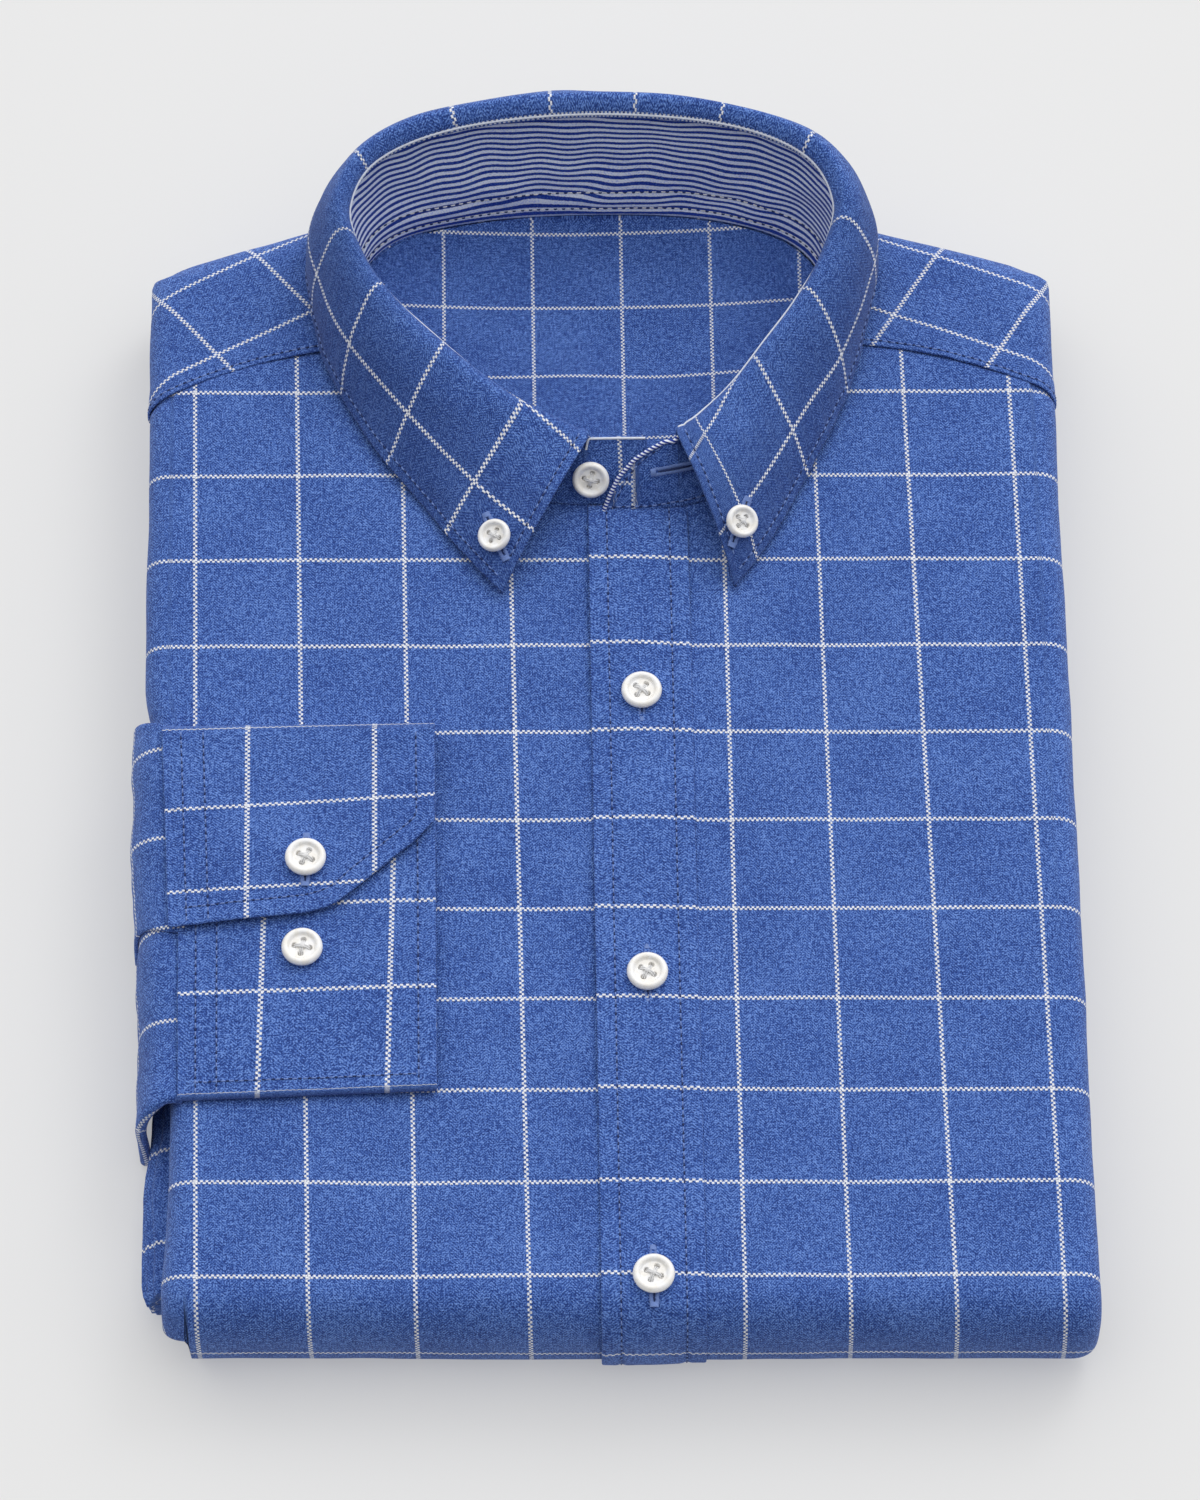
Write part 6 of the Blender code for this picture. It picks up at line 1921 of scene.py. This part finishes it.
class StitchingOperator(bpy.types.Operator):
    """Sew the seams: rows of stitches and the buttonholes"""
    bl_idname = "shirt.stitching"
    bl_label = "Stitching and buttonholes"

    def execute(self, context):
        sizes = context.scene.shirt_sizes
        rows, facing_rows = [], []
        placket, yoke = PATCHES["placket"], PATCHES["yoke"]
        for patch, distance, seed in ((placket, PLACKET_STITCH_INSET, 101),
                                      (yoke, YOKE_STITCH_INSET, 103)):
            for from_end in (False, True):
                a, b = inset_columns(patch, distance, from_end)
                rows.append(stitch_row(patch, a, b, sizes, seed + from_end))
        leaf = PATCHES["leaf"]
        a, b = inset_rows(leaf, LEAF_STITCH_INSET, True)
        run = np.linalg.norm(leaf.points[:, -1] - leaf.points[0, -1], axis=-1)
        to_last = np.linalg.norm(leaf.points[:, -1] - leaf.points[-1, -1], axis=-1)
        keep = (run > LEAF_STITCH_INSET) & (to_last > LEAF_STITCH_INSET)
        rows.append(stitch_row(leaf, a[keep], b[keep], sizes, 105))
        for from_end, seed in ((False, 106), (True, 107)):
            a, b = inset_columns(leaf, LEAF_STITCH_INSET, from_end)
            down = (b > 22) & (b < leaf.points.shape[1] - 4)
            rows.append(stitch_row(leaf, a[down], b[down], sizes, seed))
        facing = PATCHES["facing"]
        for height, seed in zip(FACING_STITCH_HEIGHTS, (108, 109)):
            a, b = inset_rows(facing, height)
            facing_rows.append(stitch_row(facing, a[6:-6], b[6:-6], sizes, seed))
        stand = PATCHES["stand"]
        a, b = inset_rows(stand, 1.6 * MM)
        tab = a < 60
        rows.append(stitch_row(stand, a[tab], b[tab], sizes, 110))
        a, b = inset_columns(stand, 2.4 * MM)
        rows.append(stitch_row(stand, a[3:-2], b[3:-2], sizes, 111))
        rows += cuff_stitches(sizes)
        # Painted shade marks in the needle holes; the buttonhole slits' marks join them below
        holes = [painted_hole_shades(row) for row in rows + facing_rows]
        flap_row = len(PATCHES["cuff"].points) - CUFF_FLAP_COUNT
        flap = Patch(PATCHES["cuff"].points[flap_row:], PATCHES["cuff"].cloth[flap_row:])
        worked = [(placket, (CENTRE_X, y), (0, 1), BUTTONHOLE_HALF) for y in FRONT_BUTTON_Y]
        worked += [(flap, CUFF_BUTTONS[0], (0.02, 1), 7.2 * MM),
                   (leaf, COLLAR_BUTTON_RIGHT, (-0.35, 1), 6.6 * MM),
                   (leaf, COLLAR_BUTTON_LEFT, (0.25, 1), 6.6 * MM),
                   (stand, STAND_BUTTONHOLE, (1, 0.16), 5.6 * MM)]
        for seed, (patch, centre, way, half) in enumerate(worked, 131):
            threads, gap_shade = buttonhole_rows(patch, centre, way, half, seed)
            rows += threads
            # The slit's dark mark is painted shade
            holes += gap_shade
        for name, group, look in (("stitching", rows, "thread"), ("painted_hole_shades", holes, "gap_shade"),
                                  ("facing_stitching", facing_rows, "white_thread")):
            item = finish_mesh(name, threads_mesh(name, group), surface_named(look, context), 80)
            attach(item, "root")
        self.edge_lines(context, stand, leaf)
        return {'FINISHED'}

    def edge_lines(self, context, stand, leaf):
        """Lay the pale edge line inside the collar and the striped piping on the stand's end."""
        stations, cols = leaf.points.shape[0], LEAF_ROLL_COUNT - 1
        a = np.linspace(1, stations - 2, 260)
        section = a / (stations - 1) * LAST_SECTION
        front = 1 - smooth_step(section, 3.2, 5.2) + smooth_step(section, 12.8, 14.8)
        tip = smooth_step(section, 16.2, 17.6)
        b = (0.1 + 0.36 * front + 0.16 * tip) * cols
        path, normals = leaf.place(a, b)
        last, top_column = len(stand.points) - 1, stand.points.shape[1] - 1.0
        button_top, _ = stand.place(np.linspace(last - STAND_END_COUNT + 1, last, 30),
                                    np.full(30, top_column))
        tubes = [tube_points(line, EDGE_LINE_RADIUS)
                 for line in (path + normals * 0.1 * MM, button_top)]
        mesh = mesh_of("collar_edge_line", *joined(tubes))
        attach(finish_mesh("collar_edge_line", mesh, surface_named("edge_line", context), 80), "root")
        up, _ = stand.place(np.zeros(40), np.linspace(0, top_column, 40))
        top, _ = stand.place(np.linspace(0.5, STAND_END_COUNT - 2, 30), np.full(30, top_column))
        tube, tris = tube_points(np.concatenate([up, top]), PIPING_RADIUS)
        mesh = mesh_of("stand_piping", tube, tris)
        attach(finish_mesh("stand_piping", mesh, surface_named("piping", context), 80), "root")


def cuff_stitches(sizes):
    """Rows on the cuff: two beside the sleeve's seam, one in from the free edges of both layers."""
    cuff = PATCHES["cuff"]
    count_rows, count_cols = cuff.points.shape[:2]
    flap_row = count_rows - CUFF_FLAP_COUNT
    x = cuff.points[flap_row + 5, :, 0]
    order = np.argsort(x)
    rows = []
    for number, offset in enumerate(SLEEVE_SEAM_STITCHES):
        b_at = np.interp(CUFF_LEFT_X + offset, x[order], np.arange(count_cols)[order])
        for span, seed in ((np.linspace(2, CUFF_UNDER_COUNT, 80), 120),
                           (np.linspace(flap_row, count_rows - 1, 60), 122)):
            rows.append(stitch_row(cuff, span, np.full(len(span), b_at), sizes, seed + number))
    edge_x = np.linspace(CUFF_LEFT_X + 0.5 * MM, CUFF_RIGHT_X - CUFF_STITCH_INSET, 120)
    slope = np.gradient(flap_edge_y(edge_x), edge_x)
    inset_y = flap_edge_y(edge_x) + CUFF_STITCH_INSET * np.sqrt(1 + slope ** 2)
    up_y = np.linspace(inset_y[-1], CUFF_TOP_Y - 3 * MM, 40)[1:]
    path_x = np.concatenate([edge_x, np.full(len(up_y), edge_x[-1])])
    path_y = np.concatenate([inset_y, up_y])
    b = np.interp(path_x, x[order], np.arange(count_cols)[order])
    top_y = CUFF_TOP_Y - (CUFF_FLAP_HEIGHT - GAP) / 2
    share = (top_y - path_y) / (top_y - flap_edge_y(path_x))
    rows.append(stitch_row(cuff, flap_row + share * (CUFF_FLAP_COUNT - 1), b, sizes, 124))
    span = np.linspace(2, CUFF_UNDER_COUNT - 1, 80)
    b_at = np.interp(CUFF_RIGHT_X - CUFF_STITCH_INSET, x[order], np.arange(count_cols)[order])
    rows.append(stitch_row(cuff, span, np.full(len(span), b_at), sizes, 125))
    low_y = CUFF_BOTTOM_Y + CUFF_BOTTOM_SLANT * (edge_x - CUFF_LEFT_X) + CUFF_STITCH_INSET
    end_y = CUFF_BOTTOM_Y + CUFF_BOTTOM_SLANT * (edge_x - CUFF_LEFT_X) + CUFF_UNDER_HEIGHT / 2
    share = (low_y - CUFF_UNDER_END_Y) / (end_y - CUFF_UNDER_END_Y)
    b = np.interp(edge_x, x[order], np.arange(count_cols)[order])
    rows.append(stitch_row(cuff, share * (CUFF_UNDER_COUNT - 1), b, sizes, 126))
    return rows


class StageOperator(bpy.types.Operator):
    """Lay the pale floor, hang the soft light and set up the camera"""
    bl_idname = "shirt.stage"
    bl_label = "Stage"

    def execute(self, context):
        scene = context.scene
        half = FLOOR_HALF
        floor = mesh_of("floor", [(-half, -half, 0), (half, -half, 0), (half, half, 0),
                                  (-half, half, 0)], [[0, 1, 2, 3]])
        floor = finish_mesh("floor", floor, surface_named("floor", context))
        floor.location.z = -0.0002
        world = bpy.data.worlds.new("pale_room")
        world.use_nodes = True
        background = world.node_tree.nodes["Background"]
        background.inputs["Color"].default_value = (1.0, 1.0, 1.0, 1.0)
        sky = Graph(world.node_tree)
        x, y, z = sky.apart(sky.place("Generated"))
        towards = Vector(SKY_TOWARDS).normalized()
        facing = sky.maths('MULTIPLY', x, towards.x)
        facing = sky.maths('MULTIPLY_ADD', y, towards.y, facing)
        facing = sky.maths('MULTIPLY_ADD', z, towards.z, facing)
        sky.feed(background.inputs["Strength"], sky.ramp(facing, -0.35, 1.0, SKY_DARK, SKY_BRIGHT))
        scene.world = world
        for name, towards, distance, size, power in LIGHTS:
            light = bpy.data.lights.new(name, 'AREA')
            light.shape = 'DISK'
            light.size = size
            light.energy = power
            item = bpy.data.objects.new(name, light)
            item.location = Vector(towards).normalized() * distance
            item.rotation_euler = Vector(towards).to_track_quat('Z', 'Y').to_euler()
            scene.collection.objects.link(item)
        lens = bpy.data.cameras.new("camera")
        lens.lens = CAMERA_LENS
        lens.sensor_width = 36.0
        camera = bpy.data.objects.new("camera", lens)
        turn = np.radians(CAMERA_AZIMUTH)
        tilt = np.radians(CAMERA_ELEVATION)
        ahead = Vector((np.sin(turn) * np.cos(tilt), np.cos(turn) * np.cos(tilt), -np.sin(tilt)))
        camera.location = Vector(CAMERA_TARGET) - ahead * CAMERA_DISTANCE
        right = Vector((np.cos(turn), -np.sin(turn), 0.0))
        up = right.cross(ahead)
        camera.matrix_world = Matrix((
            (right.x, up.x, -ahead.x, camera.location.x),
            (right.y, up.y, -ahead.y, camera.location.y),
            (right.z, up.z, -ahead.z, camera.location.z),
            (0, 0, 0, 1)))
        scene.collection.objects.link(camera)
        scene.camera = camera
        scene.view_settings.view_transform = 'Standard'
        return {'FINISHED'}


class ShirtPanel(bpy.types.Panel):
    """Sizes, colours and the steps that build the shirt"""
    bl_idname = "VIEW3D_PT_shirt"
    bl_label = "Folded dress shirt"
    bl_space_type = 'VIEW_3D'
    bl_region_type = 'UI'
    bl_category = "Shirt"

    def draw(self, context):
        layout = self.layout
        for group in (context.scene.shirt_sizes, context.scene.shirt_colours):
            box = layout.box()
            for name in group.__annotations__:
                box.prop(group, name)
        for step in STEPS:
            layout.operator(step.bl_idname)


STEPS = (HiddenLayersOperator, FrontsOperator, YokeOperator, CollarOperator, SleeveOperator,
         ButtonsOperator, StitchingOperator, StageOperator)
CLASSES = (ShirtSizes, ShirtColours, *STEPS, ShirtPanel)


def register():
    for entry in CLASSES:
        bpy.utils.register_class(entry)
    bpy.types.Scene.shirt_sizes = PointerProperty(type=ShirtSizes)
    bpy.types.Scene.shirt_colours = PointerProperty(type=ShirtColours)


def unregister():
    del bpy.types.Scene.shirt_colours
    del bpy.types.Scene.shirt_sizes
    for entry in reversed(CLASSES):
        bpy.utils.unregister_class(entry)


def main():
    register()
    for step in STEPS:
        group, name = step.bl_idname.split(".")
        getattr(getattr(bpy.ops, group), name)()


if __name__ == "__main__":
    main()
